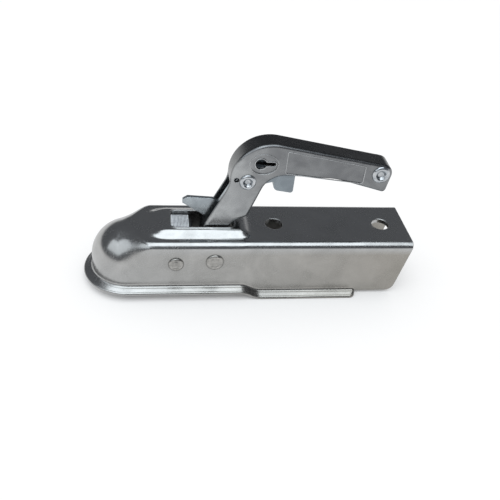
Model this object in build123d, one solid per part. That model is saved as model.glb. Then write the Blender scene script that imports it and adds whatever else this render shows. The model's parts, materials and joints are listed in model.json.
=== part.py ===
from build123d import *
import os
from math import cos, hypot, radians, sin

os.makedirs("parts", exist_ok=True)

# Trailer coupler: a pressed steel coupling head for a tow ball, bolted to a square drawbar.
# Lengths are millimetres. The origin is the centre of the ball seat. X runs rearwards along the
# drawbar, Z is up, and the coupler is symmetric about the plane Y = 0.

# Body shell: sheet, ball seat and drawbar channel
ball_diameter = 50.0
ball_play = 0.5
body_sheet = 3.5
drawbar_width = 50.0
drawbar_play = 0.5
plate_rise = 1.0            # top plate above the crown of the dome
long_edge_radius = 5.7
crown_flat = 0.4            # half width of the flat at the very top of the dome
shoulder_length = 18.0      # dome section turns into the channel section over this length
shoulder_steps = 6
body_end_x = 226.6          # rear edge of the top plate
body_end_lean = 0.185       # the rear edge runs forward this much for each mm down
end_corner_radius = 7.0

# Bottom flange, which steps down under the drawbar
front_floor_z = -14.1
rear_floor_z = -19.9
tail_floor_z = -17.8        # side walls behind the flange
flange_width = 7.0
flange_end_x = 185.0
flange_bend_x = 87.0
flange_bend_length = 20.0
flange_root_radius = 2.5
flange_edge_radius = 1.2
flange_corner_radius = 5.0

# Raised boss round the handle slot
boss_height = 4.5
boss_front_x = 11.0
boss_rear_x = 99.0
boss_half_width = 21.0
boss_front_run = 20.0       # length of the front slope
boss_side_run = 7.0
boss_rear_run = 13.0
boss_sink = 1.3             # the slopes start this far under the top plate
boss_corner_radius = 13.0
boss_top_corner_radius = 6.0
boss_edge_radius = 3.0

# Slot and bolt holes in the top plate
slot_front_x = 33.0
slot_play = 1.3             # slot beside the handle
slot_rear_play = 2.2        # slot behind the handle neck
slot_corner_radius = 4.0
bolt_hole_diameter = 14.0
bolt_spacing = 90.0
bolt_end_distance = 20.8    # last bolt hole to the rear edge

# Tab turned down at the front of the slot, which the jaw spring pushes on
tab_half_width = 8.0
tab_bottom_z = 17.6
tab_corner_radius = 3.0

# Pivot rivets
jaw_pivot_x = 36.7
jaw_pivot_z = 12.0
handle_pivot_x = 66.6
handle_pivot_z = 14.0
pivot_shaft_radius = 5.0
rivet_hole_play = 0.05
running_play = 0.06
pivot_head_height = 2.2
pivot_head_chamfer = 0.9
jaw_head_radius = 6.0
handle_head_radius = 7.0
bush_wall = 1.5
bush_seat_play = 0.03
spacer_wall = 3.0
side_play = 0.05

# Ball jaw
jaw_half_width = 18.0
jaw_hub_radius = 9.5
jaw_back_x = 44.0
jaw_front_x = 20.0
jaw_foot_z = -12.4
jaw_edge_radius = 0.5
jaw_corner_radius = 3.0
jaw_lug_front_x = 47.5
jaw_lug_thickness = 2.5
jaw_lug_half_width = 10.3
jaw_lug_top_z = 28.0
jaw_lug_radius = 1.0
jaw_window_half_width = 8.2

# Jaw spring, close wound round the X axis, and its stud on the jaw
spring_outer_radius = 7.0
spring_wire_radius = 0.8
spring_pitch = 1.75
spring_end_play = 0.1
spring_axis_z = 24.7
stud_radius = 3.6
stud_length = 6.0

# Handle: a channel pressed from sheet, open below
handle_half_width = 9.5
handle_sheet = 2.5
handle_edge_radius = 2.4
handle_hub_radius = 12.0
handle_hub_flat = 0.5       # the plates' edges run into the hub this far inside it
neck_foot_front = -9.2      # neck edge from the handle pivot, at the slot
neck_foot_z = 18.4
neck_foot_radius = 6.0
neck_top_x = 9.2            # front of the neck
neck_bend_z = 56.2
grip_top_z = 98.4           # where the grip's top line meets the neck's front line
grip_end_x = 135.0
grip_end_z = 75.6
grip_tail_x = 131.6
grip_tail_z = 52.7
grip_belly_x = 90.6
grip_belly_z = 64.2
neck_back_x = 38.6
neck_back_z = 67.1
heel_x = 25.1
heel_z = 29.2
heel_front_x = 15.8
heel_front_z = 25.4
neck_rear = 12.4            # rear edge of the neck inside the slot
neck_rear_z = 19.9
handle_corner_radius = 3.0
heel_front_radius = 2.5
neck_rear_radius = 2.0
web_start_z = 60.0          # the web begins here on the neck's front
grip_corner_radius = 30.0
neck_bend_radius = 22.0
crotch_radius = 18.0
belly_radius = 60.0
tail_radius = 8.0

# Details of the handle's sides, from the handle pivot
anchor_hole_x = 14.1
anchor_hole_z = 62.5
anchor_hole_radius = 2.0
lock_hole_x = 31.1
lock_hole_z = 76.3
lock_hole_radius = 4.3
lock_slot_length = 9.7
lock_slot_radius = 1.7
recess_x = 33.4
recess_half_length = 10.8
recess_half_height = 8.4
recess_depth = 0.8
panel_front_x = 50.2
panel_rear_x = 111.6
panel_margin = 3.6
panel_height = 15.0
panel_depth = 0.5
panel_corner_radius = 2.0

# Tubular rivets in the handle
catch_pivot_x = 22.5
catch_pivot_z = 61.1
catch_shaft_radius = 4.0
catch_head_radius = 6.4
end_rivet_x = 124.5
end_shaft_radius = 3.8
end_head_radius = 7.3
tube_wall = 1.0
rolled_head_height = 1.9
end_spacer_wall = 1.2
end_spacer_gap = 0.35       # spacer tube to the inside of the grip's web

# Locking cam between the handle's plates
cam_hub_inset = 1.0         # the cam's hub lies this far inside the handle's hub
cam_nose_radius = 4.0
cam_nose_z = 0.0
cam_gap = 0.3               # cam nose to the back of the jaw
cam_rivet_radius = 1.4
cam_rivet_angle = 55.0

# Catch lever, from the catch pivot: a channel with the trigger, and a blade with the beak
catch_side_play = 0.5
catch_sheet = 2.0
catch_hub_radius = 7.3
catch_corner_radius = 1.0
blade_thickness = 3.0
blade_root_x = -11.5        # upper corner of the channel's web that carries the blade
blade_root_z = -6.5
blade_heel_x = -8.5         # lower corner of that web
blade_heel_z = -13.0
blade_shin_x = -21.0        # rear corner of the blade, inside the neck
blade_shin_z = -35.5
blade_bend_radius = 3.0
beak_low_x = -28.8
beak_low_z = -37.1
beak_tip_x = -47.6
beak_tip_z = -24.3
beak_nose_height = 2.6
beak_top_x = -43.9
beak_top_z = -19.2
beak_back_x = -24.3
beak_back_z = -20.5
blade_neck_x = -19.8        # where the blade's front edge turns up inside the neck
blade_neck_z = -23.0
trigger_front_x = 20.4
trigger_rear_x = 36.2
trigger_bottom_z = -11.1
trigger_front_rise = 2.6    # the pad's bottom is this much higher in front
trigger_top_z = 6.0
trigger_root_z = -1.0
trigger_web_z = -1.6        # upper edge of the pad's web
trigger_radius = 5.0
trigger_end_radius = 2.0
catch_bush_wall = 0.9
catch_spring_wire = 0.7
catch_spring_turns = 4
catch_spring_gap = 0.1      # between the turns
catch_spring_play = 0.3     # coil to sleeve, and leg to trigger

# Worked out from the sizes above
ball_seat_radius = ball_diameter / 2 + ball_play
dome_radius = ball_seat_radius + body_sheet
channel_half = drawbar_width / 2 + drawbar_play
body_half = channel_half + body_sheet
plate_top_z = dome_radius + plate_rise
plate_under_z = plate_top_z - body_sheet
boss_top_z = plate_top_z + boss_height
flange_half = body_half + flange_width
flange_radius = dome_radius + flange_width
slot_half = handle_half_width + slot_play
slot_rear_x = handle_pivot_x + neck_rear + slot_rear_play
handle_inner = handle_half_width - handle_sheet
catch_half = handle_inner - catch_side_play
bolt_xs = [body_end_x - bolt_end_distance - bolt_spacing, body_end_x - bolt_end_distance]
bush_radius = pivot_shaft_radius + running_play + bush_wall
bush_bore = bush_radius + bush_seat_play
cam_hub_radius = handle_hub_radius - cam_hub_inset
cam_rivet_distance = (bush_bore + cam_hub_radius) / 2
grip_slope = (grip_top_z - grip_end_z) / (grip_end_x - neck_top_x)
end_spacer_radius = end_shaft_radius + bush_seat_play + end_spacer_wall
end_rivet_drop = (handle_sheet + end_spacer_gap + end_spacer_radius) * hypot(1, grip_slope)
end_rivet_z = grip_top_z - grip_slope * (end_rivet_x - neck_top_x) - end_rivet_drop
deep = 200.0                # longer than any cut needs


def side_face(corners):
    """Closed outline in the side view; each corner is (x, z, radius)."""
    radii = [max(c[2], 0.01) for c in corners]
    outline = FilletPolyline(*[(c[0], c[1]) for c in corners], radius=radii, close=True)
    return Plane.XZ * make_face(outline)


def side_slab(face, y_low, y_high):
    """A side view face as a plate from y_low to y_high."""
    # the XZ plane's normal is -Y
    plate = extrude(face, amount=y_high - y_low)
    return Pos(0, y_high, 0) * plate


def both_ways(face, half):
    """A side view face as a plate on both sides of the middle plane."""
    return side_slab(face, -half, half)


def cross_pin(x, z, radius, half):
    """A round bar along Y through the point (x, z)."""
    return Pos(x, 0, z) * Rot(90, 0, 0) * Cylinder(radius, 2 * half)


def cross_tube(x, z, outer, inner, y_low, y_high):
    """A tube along Y from y_low to y_high."""
    length = y_high - y_low
    tube = Cylinder(outer, length) - Cylinder(inner, length)
    return Pos(x, (y_low + y_high) / 2, z) * Rot(90, 0, 0) * tube


def keep(node, solid):
    """Writes one piece under its own name."""
    solid.label = node
    export_step(solid, os.path.join("parts", node + ".step"))


# Body shell

def shell_section(x, half, top_z, corner_radius):
    """Upright section of the body: straight sides and two rounded top corners."""
    plane = Plane(origin=(x, 0, 0), x_dir=(0, 1, 0), z_dir=(1, 0, 0))
    low = rear_floor_z - flange_width
    spring_z = top_z - corner_radius
    sides = [
        Line((-half, low), (half, low)),
        Line((half, low), (half, spring_z)),
        CenterArc((half - corner_radius, spring_z), corner_radius, 0, 90),
        Line((half - corner_radius, top_z), (corner_radius - half, top_z)),
        CenterArc((corner_radius - half, spring_z), corner_radius, 90, 90),
        Line((-half, spring_z), (-half, low)),
    ]
    return plane * make_face(Curve() + sides)


def body_form(inset):
    """Solid outer form of the pressing, or with an inset the form of its inside."""
    sections = []
    for step in range(shoulder_steps + 1):
        along = step / shoulder_steps
        # starts quicker than it ends
        ease = along * (2 + 2 * along - 2 * along * along) / 2
        half = dome_radius + (body_half - dome_radius) * ease - inset
        top = dome_radius + plate_rise * ease - inset
        corner = dome_radius - crown_flat + (long_edge_radius - dome_radius + crown_flat) * ease
        sections.append(shell_section(along * shoulder_length, half, top, corner - inset))
    shoulder = loft(sections)
    far_side = Box(deep, deep, deep, align=(Align.CENTER, Align.MIN, Align.CENTER))
    # the far half of the dome section, turned round the front
    front = revolve(sections[0] & far_side, Axis.Z, 180)
    channel = extrude(sections[-1], amount=body_end_x - shoulder_length + body_sheet, dir=(1, 0, 0))
    return front + shoulder + channel


def boss_form():
    """The raised ground round the slot, with sloping sides."""
    low_plane = Plane.XY.offset(plate_top_z - boss_sink)
    top_plane = Plane.XY.offset(boss_top_z)
    middle = (boss_front_x + boss_rear_x) / 2
    length = boss_rear_x - boss_front_x
    base = RectangleRounded(length, 2 * boss_half_width, boss_corner_radius)
    top = RectangleRounded(length - boss_front_run - boss_rear_run,
                           2 * (boss_half_width - boss_side_run), boss_top_corner_radius)
    top_x = middle + (boss_front_run - boss_rear_run) / 2
    form = loft([low_plane * Pos(middle, 0) * base, top_plane * Pos(top_x, 0) * top])
    rim = form.faces().sort_by(Axis.Z)[-1].edges()
    return fillet(rim, boss_edge_radius)


def floor_curve(lift):
    """Bottom line of the pressing in the side view, with the step under the drawbar."""
    front, rear = front_floor_z + lift, rear_floor_z + lift
    bend_end_x = flange_bend_x + flange_bend_length
    middle = (flange_bend_x + flange_bend_length / 2, (front + rear) / 2)
    start_x = -flange_radius - flange_width
    run = Line((start_x, front), (flange_bend_x, front))
    down = TangentArc(run @ 1, middle, tangent=(1, 0))
    out = TangentArc(down @ 1, (bend_end_x, rear), tangent=down % 1)
    tail = Line(out @ 1, (flange_end_x, rear))
    return [run, down, out, tail]


def wall_outline():
    """Side view of the walls: stepped floor in front, slanted edge behind."""
    lines = floor_curve(0)
    tail_x = body_end_x - body_end_lean * (plate_top_z - tail_floor_z)
    start = lines[0] @ 0
    top = plate_top_z + 2 * boss_height
    top_x = body_end_x + body_end_lean * (top - plate_top_z)
    step_up = Line(lines[-1] @ 1, (flange_end_x, tail_floor_z))
    end = FilletPolyline((flange_end_x, tail_floor_z), (tail_x, tail_floor_z), (top_x, top),
                         radius=end_corner_radius)
    roof = Polyline((top_x, top), (start.X, top), (start.X, start.Y))
    return Plane.XZ * make_face(Curve() + lines + [step_up, end, roof])


def flange_band():
    """The flange as a strip that follows the stepped floor, cut to its plan."""
    low = floor_curve(0)
    high = floor_curve(body_sheet)
    ends = [Line(low[-1] @ 1, high[-1] @ 1), Line(low[0] @ 0, high[0] @ 0)]
    band = both_ways(Plane.XZ * make_face(Curve() + low + high + ends), flange_half)
    nose = Cylinder(flange_radius, deep)
    length = Box(flange_end_x, 2 * flange_half, deep)
    rear_corners = length.edges().filter_by(Axis.Z).group_by(Axis.X)[-1]
    length = Pos(flange_end_x / 2, 0, 0) * fillet(rear_corners, flange_corner_radius)
    return band & (nose + length)


def coupling_body():
    """The pressed shell with flange, boss, slot, holes and spring tab."""
    outside = (body_form(0) + boss_form()) & both_ways(wall_outline(), flange_half)
    outside += flange_band()
    root = [e for e in outside.edges() if flange_root_edge(e)]
    if root:
        outside = fillet(root, flange_root_radius)
    inside = body_form(body_sheet) + Pos(0, 0, -body_sheet) * boss_form()
    shell = outside - inside
    slot_length = slot_rear_x - slot_front_x
    slot = extrude(RectangleRounded(slot_length, 2 * slot_half, slot_corner_radius), deep)
    shell -= Pos((slot_front_x + slot_rear_x) / 2, 0, 0) * slot
    for x in bolt_xs:
        shell -= Pos(x, 0, deep / 2) * Cylinder(bolt_hole_diameter / 2, deep)
    hole = pivot_shaft_radius + rivet_hole_play
    shell -= cross_pin(jaw_pivot_x, jaw_pivot_z, hole, flange_half)
    shell -= cross_pin(handle_pivot_x, handle_pivot_z, hole, flange_half)
    tab = Pos(slot_front_x - body_sheet / 2, 0, (tab_bottom_z + boss_top_z - body_sheet) / 2) * Box(
        body_sheet, 2 * tab_half_width, boss_top_z - body_sheet - tab_bottom_z)
    foot = tab.edges().filter_by(Axis.X).group_by(Axis.Z)[0]
    return shell + fillet(foot, tab_corner_radius)


def flange_root_edge(edge):
    """True for the inner corner where the flange meets the outside of a side wall."""
    middle = edge @ 0.5
    on_floor = front_floor_z + body_sheet, rear_floor_z + body_sheet
    high = min(on_floor) - 0.1 < middle.Z < max(on_floor) + 0.1
    if middle.X > 0:
        # the shoulder turns from the dome's width to the channel's
        narrow, wide = sorted((dome_radius, body_half))
        on_wall = narrow - 0.05 < abs(middle.Y) < wide + 0.05
        return high and on_wall and middle.X < flange_end_x - 0.1
    reach = (middle.X ** 2 + middle.Y ** 2) ** 0.5
    return high and abs(reach - dome_radius) < 0.05


# Pivot rivets, spacers and bushes

def pivot_rivet(x, z, head_radius):
    """A solid rivet across the body with a low chamfered head on each side."""
    rivet = cross_pin(x, z, pivot_shaft_radius, body_half)
    for side in (-1, 1):
        head = Cylinder(head_radius, pivot_head_height)
        rim = head.edges().filter_by(GeomType.CIRCLE).sort_by(Axis.Z)[-1]
        head = chamfer(rim, pivot_head_chamfer)
        place = Pos(x, side * (body_half + pivot_head_height / 2), z)
        rivet += place * Rot(-90 * side, 0, 0) * head
    return rivet


def spacer(x, z, side, hub_half):
    """A tube round a pivot rivet between a hub and the side wall."""
    inner = pivot_shaft_radius + rivet_hole_play
    low, high = hub_half + side_play, channel_half
    if side < 0:
        low, high = -high, -low
    return cross_tube(x, z, inner + spacer_wall, inner, low, high)


def jaw_bush(side):
    """Bearing bush in one cheek of the jaw."""
    low, high = jaw_window_half_width, jaw_half_width
    if side < 0:
        low, high = -high, -low
    return cross_tube(jaw_pivot_x, jaw_pivot_z, bush_radius, pivot_shaft_radius + running_play,
                      low, high)


# Ball jaw and its spring

def ball_jaw():
    """The jaw that closes under the ball, with hub, cheeks and the lug for its spring."""
    lug_back_x = jaw_lug_front_x + jaw_lug_thickness
    block = side_face([
        (jaw_front_x, jaw_foot_z, jaw_edge_radius),
        (jaw_back_x, jaw_foot_z, jaw_corner_radius),
        (jaw_back_x, jaw_pivot_z, 0),
        (jaw_pivot_x, jaw_pivot_z + jaw_hub_radius, jaw_corner_radius),
        (jaw_front_x, jaw_pivot_z, 0),
    ])
    jaw = both_ways(block, jaw_half_width) + cross_pin(jaw_pivot_x, jaw_pivot_z, jaw_hub_radius,
                                                       jaw_half_width)
    arm = side_face([
        (jaw_pivot_x, jaw_pivot_z - jaw_hub_radius / 2, 0),
        (lug_back_x, jaw_pivot_z, jaw_corner_radius),
        (lug_back_x, jaw_lug_top_z, jaw_lug_radius),
        (jaw_lug_front_x, jaw_lug_top_z, 0),
        (jaw_pivot_x, jaw_pivot_z + jaw_hub_radius, 0),
    ])
    jaw += both_ways(arm, jaw_lug_half_width)
    window_z = spring_axis_z - spring_outer_radius - 2 * spring_end_play
    window = Box(jaw_lug_front_x, 2 * jaw_window_half_width, deep,
                 align=(Align.MAX, Align.CENTER, Align.MIN))
    jaw -= Pos(jaw_lug_front_x, 0, window_z) * window
    jaw -= Sphere(ball_seat_radius)
    jaw -= Box(ball_seat_radius, deep, deep, align=(Align.MAX, Align.CENTER, Align.MAX)).moved(
        Location((ball_seat_radius, 0, jaw_foot_z)))
    return jaw - cross_pin(jaw_pivot_x, jaw_pivot_z, bush_bore, deep)


def jaw_spring():
    """Close wound coil between the tab and the jaw's lug."""
    start_x = slot_front_x + spring_end_play + spring_wire_radius
    length = jaw_lug_front_x - spring_end_play - spring_wire_radius - start_x
    coil_radius = spring_outer_radius - spring_wire_radius
    path = Helix(spring_pitch, length, coil_radius)
    wire = Plane(origin=path @ 0, z_dir=path % 0) * Circle(spring_wire_radius)
    coil = sweep(wire, path)
    return Pos(start_x, 0, spring_axis_z) * Rot(0, 90, 0) * coil


def spring_stud():
    """Stud on the lug that centres the spring."""
    middle_x = jaw_lug_front_x - stud_length / 2
    return Pos(middle_x, 0, spring_axis_z) * Rot(0, 90, 0) * Cylinder(stud_radius, stud_length)


# Handle

def from_pivot(corners):
    """Corners given from the handle pivot, as corners in the coupler's frame."""
    return [(x + handle_pivot_x, z + handle_pivot_z, r) for x, z, r in corners]


def handle_outline():
    """Side view of the handle: hub, leaning neck, bend and grip with its dropped tail."""
    plate = side_face(from_pivot([
        (handle_hub_flat - handle_hub_radius, 0, 0),
        (neck_foot_front, neck_foot_z, neck_foot_radius),
        (neck_top_x, neck_bend_z, neck_bend_radius),
        (neck_top_x, grip_top_z, grip_corner_radius),
        (grip_end_x, grip_end_z, tail_radius),
        (grip_tail_x, grip_tail_z, handle_corner_radius),
        (grip_belly_x, grip_belly_z, belly_radius),
        (neck_back_x, neck_back_z, crotch_radius),
        (heel_x, heel_z, handle_corner_radius),
        (heel_front_x, heel_front_z, heel_front_radius),
        (neck_rear, neck_rear_z, neck_rear_radius),
        (handle_hub_radius - handle_hub_flat, 0, 0),
    ]))
    hub = Plane.XZ * Pos(handle_pivot_x, handle_pivot_z) * Circle(handle_hub_radius)
    return plate + hub


def handle_web_area():
    """The part of the side view where the web joins the two plates."""
    x, z = handle_pivot_x, handle_pivot_z
    points = [
        (x - deep, z + web_start_z), (x + neck_top_x + 3 * handle_sheet, z + web_start_z),
        (x + neck_back_x, z + lock_hole_z + 2), (x + end_rivet_x, z + end_rivet_z),
        (x + grip_tail_x - 2.0 * handle_sheet, z + end_rivet_z), (x + grip_tail_x - 2.0 * handle_sheet, z),
        (x + deep, z), (x + deep, z + deep), (x - deep, z + deep),
    ]
    return Plane.XZ * make_face(Polyline(*points, close=True))


def handle_shell():
    """The handle's pressed channel with its holes, recess and plain panel."""
    outline = handle_outline()
    shell = both_ways(outline, handle_half_width)
    rims = [e for e in shell.edges() if grip_rim_edge(e)]
    shell = fillet(rims, handle_edge_radius)
    inner = offset(outline, -handle_sheet)
    area = handle_web_area()
    open_side = outline - area
    hollow = both_ways(inner, handle_inner) + both_ways(open_side, handle_inner)
    shell -= hollow
    x, z = handle_pivot_x, handle_pivot_z
    shell -= cross_pin(x, z, bush_bore, deep)
    shell -= cross_pin(x + catch_pivot_x, z + catch_pivot_z, catch_shaft_radius + bush_seat_play, deep)
    shell -= cross_pin(x + end_rivet_x, z + end_rivet_z, end_shaft_radius + bush_seat_play, deep)
    shell -= cross_pin(x + anchor_hole_x, z + anchor_hole_z, anchor_hole_radius, deep)
    for place in cam_rivet_places():
        shell -= cross_pin(*place, cam_rivet_radius + bush_seat_play, deep)
    lock_x, lock_z = x + lock_hole_x, z + lock_hole_z
    shell -= cross_pin(lock_x, lock_z, lock_hole_radius, deep)
    shell -= cross_pin(lock_x + lock_slot_length, lock_z, lock_slot_radius, deep)
    slit = Box(lock_slot_length, deep, 2 * lock_slot_radius)
    shell -= Pos(lock_x + lock_slot_length / 2, 0, lock_z) * slit
    for side in (-1, 1):
        shell -= side_recess(side, recess_face(), recess_depth)
        shell -= side_recess(side, panel_face(), panel_depth)
    return shell


def grip_rim_edge(edge):
    """True for the edges along the web, on both faces of the handle."""
    middle = edge @ 0.5
    start, end = edge @ 0, edge @ 1
    on_side = abs(abs(middle.Y) - handle_half_width) < 0.01 and abs(start.Y - end.Y) < 0.01
    x, z = middle.X - handle_pivot_x, middle.Z - handle_pivot_z
    front = x < neck_top_x + 1 and z > neck_foot_z
    # straight line through the middle of the grip, from the bend to the tail
    above = z > lock_hole_z - (x - lock_hole_x) * 0.1
    tail = x > grip_tail_x - 0.5
    return on_side and (front or above or tail)


def recess_face():
    """Oval recess round the lock hole."""
    oval = Ellipse(recess_half_length, recess_half_height)
    return Plane.XZ * Pos(handle_pivot_x + recess_x, handle_pivot_z + lock_hole_z) * oval


def panel_face():
    """Plain sunk panel along the grip, under its top edge."""
    top_front = grip_top_z - grip_slope * (panel_front_x - neck_top_x) - panel_margin
    top_rear = grip_top_z - grip_slope * (panel_rear_x - neck_top_x) - panel_margin
    return side_face(from_pivot([
        (panel_front_x, top_front, panel_corner_radius),
        (panel_rear_x, top_rear, panel_corner_radius),
        (panel_rear_x, top_rear - panel_height, panel_corner_radius),
        (panel_front_x, top_front - panel_height - panel_margin, panel_corner_radius),
    ]))


def side_recess(side, face, depth):
    """Cutter that sinks a side view face into one side of the handle."""
    outer = handle_half_width + 1
    if side < 0:
        return side_slab(face, -outer, depth - handle_half_width)
    return side_slab(face, handle_half_width - depth, outer)


def rolled_rivet(x, z, shaft_radius, head_radius):
    """A tubular rivet across the handle with a rolled ring on each side."""
    bore = shaft_radius - tube_wall
    rivet = cross_tube(x, z, shaft_radius, bore, -handle_half_width, handle_half_width)
    ring_middle = (head_radius + bore) / 2
    ring_half = (head_radius - bore) / 2
    section = Plane.XZ * Pos(ring_middle, 0) * Ellipse(ring_half, rolled_head_height)
    section &= Plane.XZ * Pos(ring_middle, rolled_head_height) * Rectangle(
        2 * ring_half, 2 * rolled_head_height)
    ring = revolve(section, Axis.Z)
    for side in (-1, 1):
        rivet += Pos(x, side * handle_half_width, z) * Rot(-90 * side, 0, 0) * ring
    return rivet


def end_spacer():
    """Tube that keeps the plates apart at the end rivet."""
    return cross_tube(handle_pivot_x + end_rivet_x, handle_pivot_z + end_rivet_z,
                      end_spacer_radius, end_shaft_radius + bush_seat_play, -handle_inner, handle_inner)


# Locking cam

def cam_rivet_places():
    """The two cam rivets, on opposite sides of the handle pivot."""
    reach = cam_rivet_distance
    places = []
    for angle in (cam_rivet_angle, cam_rivet_angle + 180):
        places.append((handle_pivot_x + reach * cos(radians(angle)),
                       handle_pivot_z + reach * sin(radians(angle))))
    return places


def locking_cam():
    """Cam on the handle pivot whose nose holds the jaw shut."""
    nose_x = jaw_back_x + cam_gap + cam_nose_radius
    hub = Pos(handle_pivot_x, handle_pivot_z) * Circle(cam_hub_radius)
    nose = Pos(nose_x, cam_nose_z) * Circle(cam_nose_radius)
    shape = make_hull(hub.edges() + nose.edges())
    cam = both_ways(Plane.XZ * shape, handle_inner)
    cam -= cross_pin(handle_pivot_x, handle_pivot_z, bush_bore, deep)
    for place in cam_rivet_places():
        cam -= cross_pin(*place, cam_rivet_radius + bush_seat_play, deep)
    return cam


def cam_rivets():
    """Two small rivets that tie the cam to the handle's plates."""
    pins = [cross_pin(*place, cam_rivet_radius, handle_half_width) for place in cam_rivet_places()]
    return Compound(children=pins)


# Catch lever

def from_catch(corners):
    """Corners given from the catch pivot, as corners in the coupler's frame."""
    return from_pivot([(x + catch_pivot_x, z + catch_pivot_z, r) for x, z, r in corners])


def catch_channel():
    """Side view of the channel: web corner, hub and trigger."""
    plate = side_face(from_catch([
        (blade_root_x, blade_root_z, catch_corner_radius),
        (-catch_hub_radius, 0, 0),
        (0, catch_hub_radius, trigger_end_radius),
        (trigger_rear_x, trigger_top_z, trigger_end_radius),
        (trigger_rear_x, trigger_bottom_z, trigger_end_radius),
        (trigger_front_x, trigger_bottom_z + trigger_front_rise, trigger_radius),
        (trigger_front_x, trigger_root_z, catch_corner_radius),
        (0, -catch_hub_radius, 0),
        (blade_heel_x, blade_heel_z, catch_corner_radius),
    ]))
    hub_x, hub_z = handle_pivot_x + catch_pivot_x, handle_pivot_z + catch_pivot_z
    return plate + Plane.XZ * Pos(hub_x, hub_z) * Circle(catch_hub_radius)


def catch_blade():
    """Side view of the blade: from the channel's web down the neck and out to the beak."""
    return side_face(from_catch([
        (beak_tip_x, beak_tip_z, catch_corner_radius),
        (beak_tip_x, beak_tip_z + beak_nose_height, catch_corner_radius),
        (beak_top_x, beak_top_z, catch_corner_radius),
        (beak_back_x, beak_back_z, catch_corner_radius),
        (blade_neck_x, blade_neck_z, catch_corner_radius),
        (blade_root_x, blade_root_z, 0),
        (blade_heel_x, blade_heel_z, 0),
        (blade_shin_x, blade_shin_z, blade_bend_radius),
        (beak_low_x, beak_low_z, catch_corner_radius),
    ]))


def blade_web():
    """Side view of the web across the channel, from the blade's root to its heel."""
    root = Vector(blade_root_x, blade_root_z)
    heel = Vector(blade_heel_x, blade_heel_z)
    along = (heel - root).normalized()
    inward = Vector(-along.Y, along.X) * catch_sheet
    corners = [root, heel, heel + inward, root + inward]
    return side_face(from_catch([(c.X, c.Y, 0) for c in corners]))


def trigger_web(channel):
    """Side view of the pad's web, round the lower side of the trigger."""
    rim = channel - offset(channel, -catch_sheet)
    x, z = handle_pivot_x + catch_pivot_x, handle_pivot_z + catch_pivot_z
    low = Polyline((x + trigger_front_x, z + trigger_web_z), (x + trigger_rear_x, z + trigger_web_z),
                   (x + trigger_rear_x, z - deep), (x + trigger_front_x, z - deep), close=True)
    return rim & (Plane.XZ * make_face(low))


def catch_lever():
    """The catch: a channel on the pivot, with the blade in its middle and the trigger behind."""
    channel = catch_channel()
    lever = side_slab(channel, catch_half - catch_sheet, catch_half)
    lever += side_slab(channel, -catch_half, catch_sheet - catch_half)
    lever += both_ways(trigger_web(channel), catch_half) + both_ways(blade_web() & channel, catch_half)
    lever += both_ways(catch_blade(), blade_thickness / 2)
    bore = catch_shaft_radius + running_play
    return lever - cross_pin(handle_pivot_x + catch_pivot_x, handle_pivot_z + catch_pivot_z, bore, deep)


def catch_bush():
    """Sleeve on the catch pivot between the catch's plates."""
    inner = catch_shaft_radius + running_play
    half = catch_half - catch_sheet
    return cross_tube(handle_pivot_x + catch_pivot_x, handle_pivot_z + catch_pivot_z,
                      inner + catch_bush_wall, inner, -half, half)


def catch_spring():
    """Torsion spring round the sleeve; its end hooks in the anchor hole."""
    x, z = handle_pivot_x + catch_pivot_x, handle_pivot_z + catch_pivot_z
    sleeve = catch_shaft_radius + running_play + catch_bush_wall
    coil_radius = sleeve + catch_spring_wire + catch_spring_play
    pitch = 2 * catch_spring_wire + catch_spring_gap
    length = pitch * catch_spring_turns
    path = Helix(pitch, length, coil_radius)
    wire = Plane(origin=path @ 0, z_dir=path % 0) * Circle(catch_spring_wire)
    coil = Pos(x, length / 2, z) * Rot(90, 0, 0) * sweep(wire, path)
    # the coil starts and ends level with the pivot, on the side of the trigger
    leg_x = x + coil_radius
    anchor_x, anchor_z = handle_pivot_x + anchor_hole_x, handle_pivot_z + anchor_hole_z
    over_z = z + coil_radius
    fixed_leg = [(leg_x, length / 2, z), (leg_x - 1, length / 2, over_z), (anchor_x, length / 2, over_z),
                 (anchor_x, length / 2, anchor_z), (anchor_x, handle_half_width, anchor_z)]
    rest_x = x + trigger_front_x + catch_sheet / 2
    rest_z = z + trigger_web_z + catch_spring_wire + catch_spring_play
    rest_leg = [(leg_x, catch_spring_wire / 2 - length / 2, z), (rest_x, -length / 2, rest_z)]
    spring = coil
    for leg in (fixed_leg, rest_leg):
        for start, end in zip(leg, leg[1:]):
            spring += bar(start, end, catch_spring_wire)
    return spring


def bar(start, end, radius):
    """A round bar with ball ends between two points."""
    axis = Vector(*end) - Vector(*start)
    rod = Plane(origin=start, z_dir=axis) * Cylinder(
        radius, axis.length, align=(Align.CENTER, Align.CENTER, Align.MIN))
    return rod + Pos(*start) * Sphere(radius) + Pos(*end) * Sphere(radius)


keep("coupling_body", coupling_body())
keep("jaw_rivet", pivot_rivet(jaw_pivot_x, jaw_pivot_z, jaw_head_radius))
keep("handle_rivet", pivot_rivet(handle_pivot_x, handle_pivot_z, handle_head_radius))
for name, side in (("near", -1), ("far", 1)):
    keep("jaw_spacer_" + name, spacer(jaw_pivot_x, jaw_pivot_z, side, jaw_half_width))
    keep("handle_spacer_" + name, spacer(handle_pivot_x, handle_pivot_z, side, handle_half_width))
    keep("jaw_bush_" + name, jaw_bush(side))
keep("ball_jaw", ball_jaw())
keep("jaw_spring", jaw_spring())
keep("spring_stud", spring_stud())
keep("handle_shell", handle_shell())
keep("handle_bush", cross_tube(handle_pivot_x, handle_pivot_z, bush_radius,
                               pivot_shaft_radius + running_play, -handle_half_width, handle_half_width))
keep("locking_cam", locking_cam())
keep("cam_rivets", cam_rivets())
keep("catch_pivot_rivet", rolled_rivet(handle_pivot_x + catch_pivot_x, handle_pivot_z + catch_pivot_z,
                                       catch_shaft_radius, catch_head_radius))
keep("handle_end_rivet", rolled_rivet(handle_pivot_x + end_rivet_x, handle_pivot_z + end_rivet_z,
                                      end_shaft_radius, end_head_radius))
keep("handle_end_spacer", end_spacer())
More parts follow.
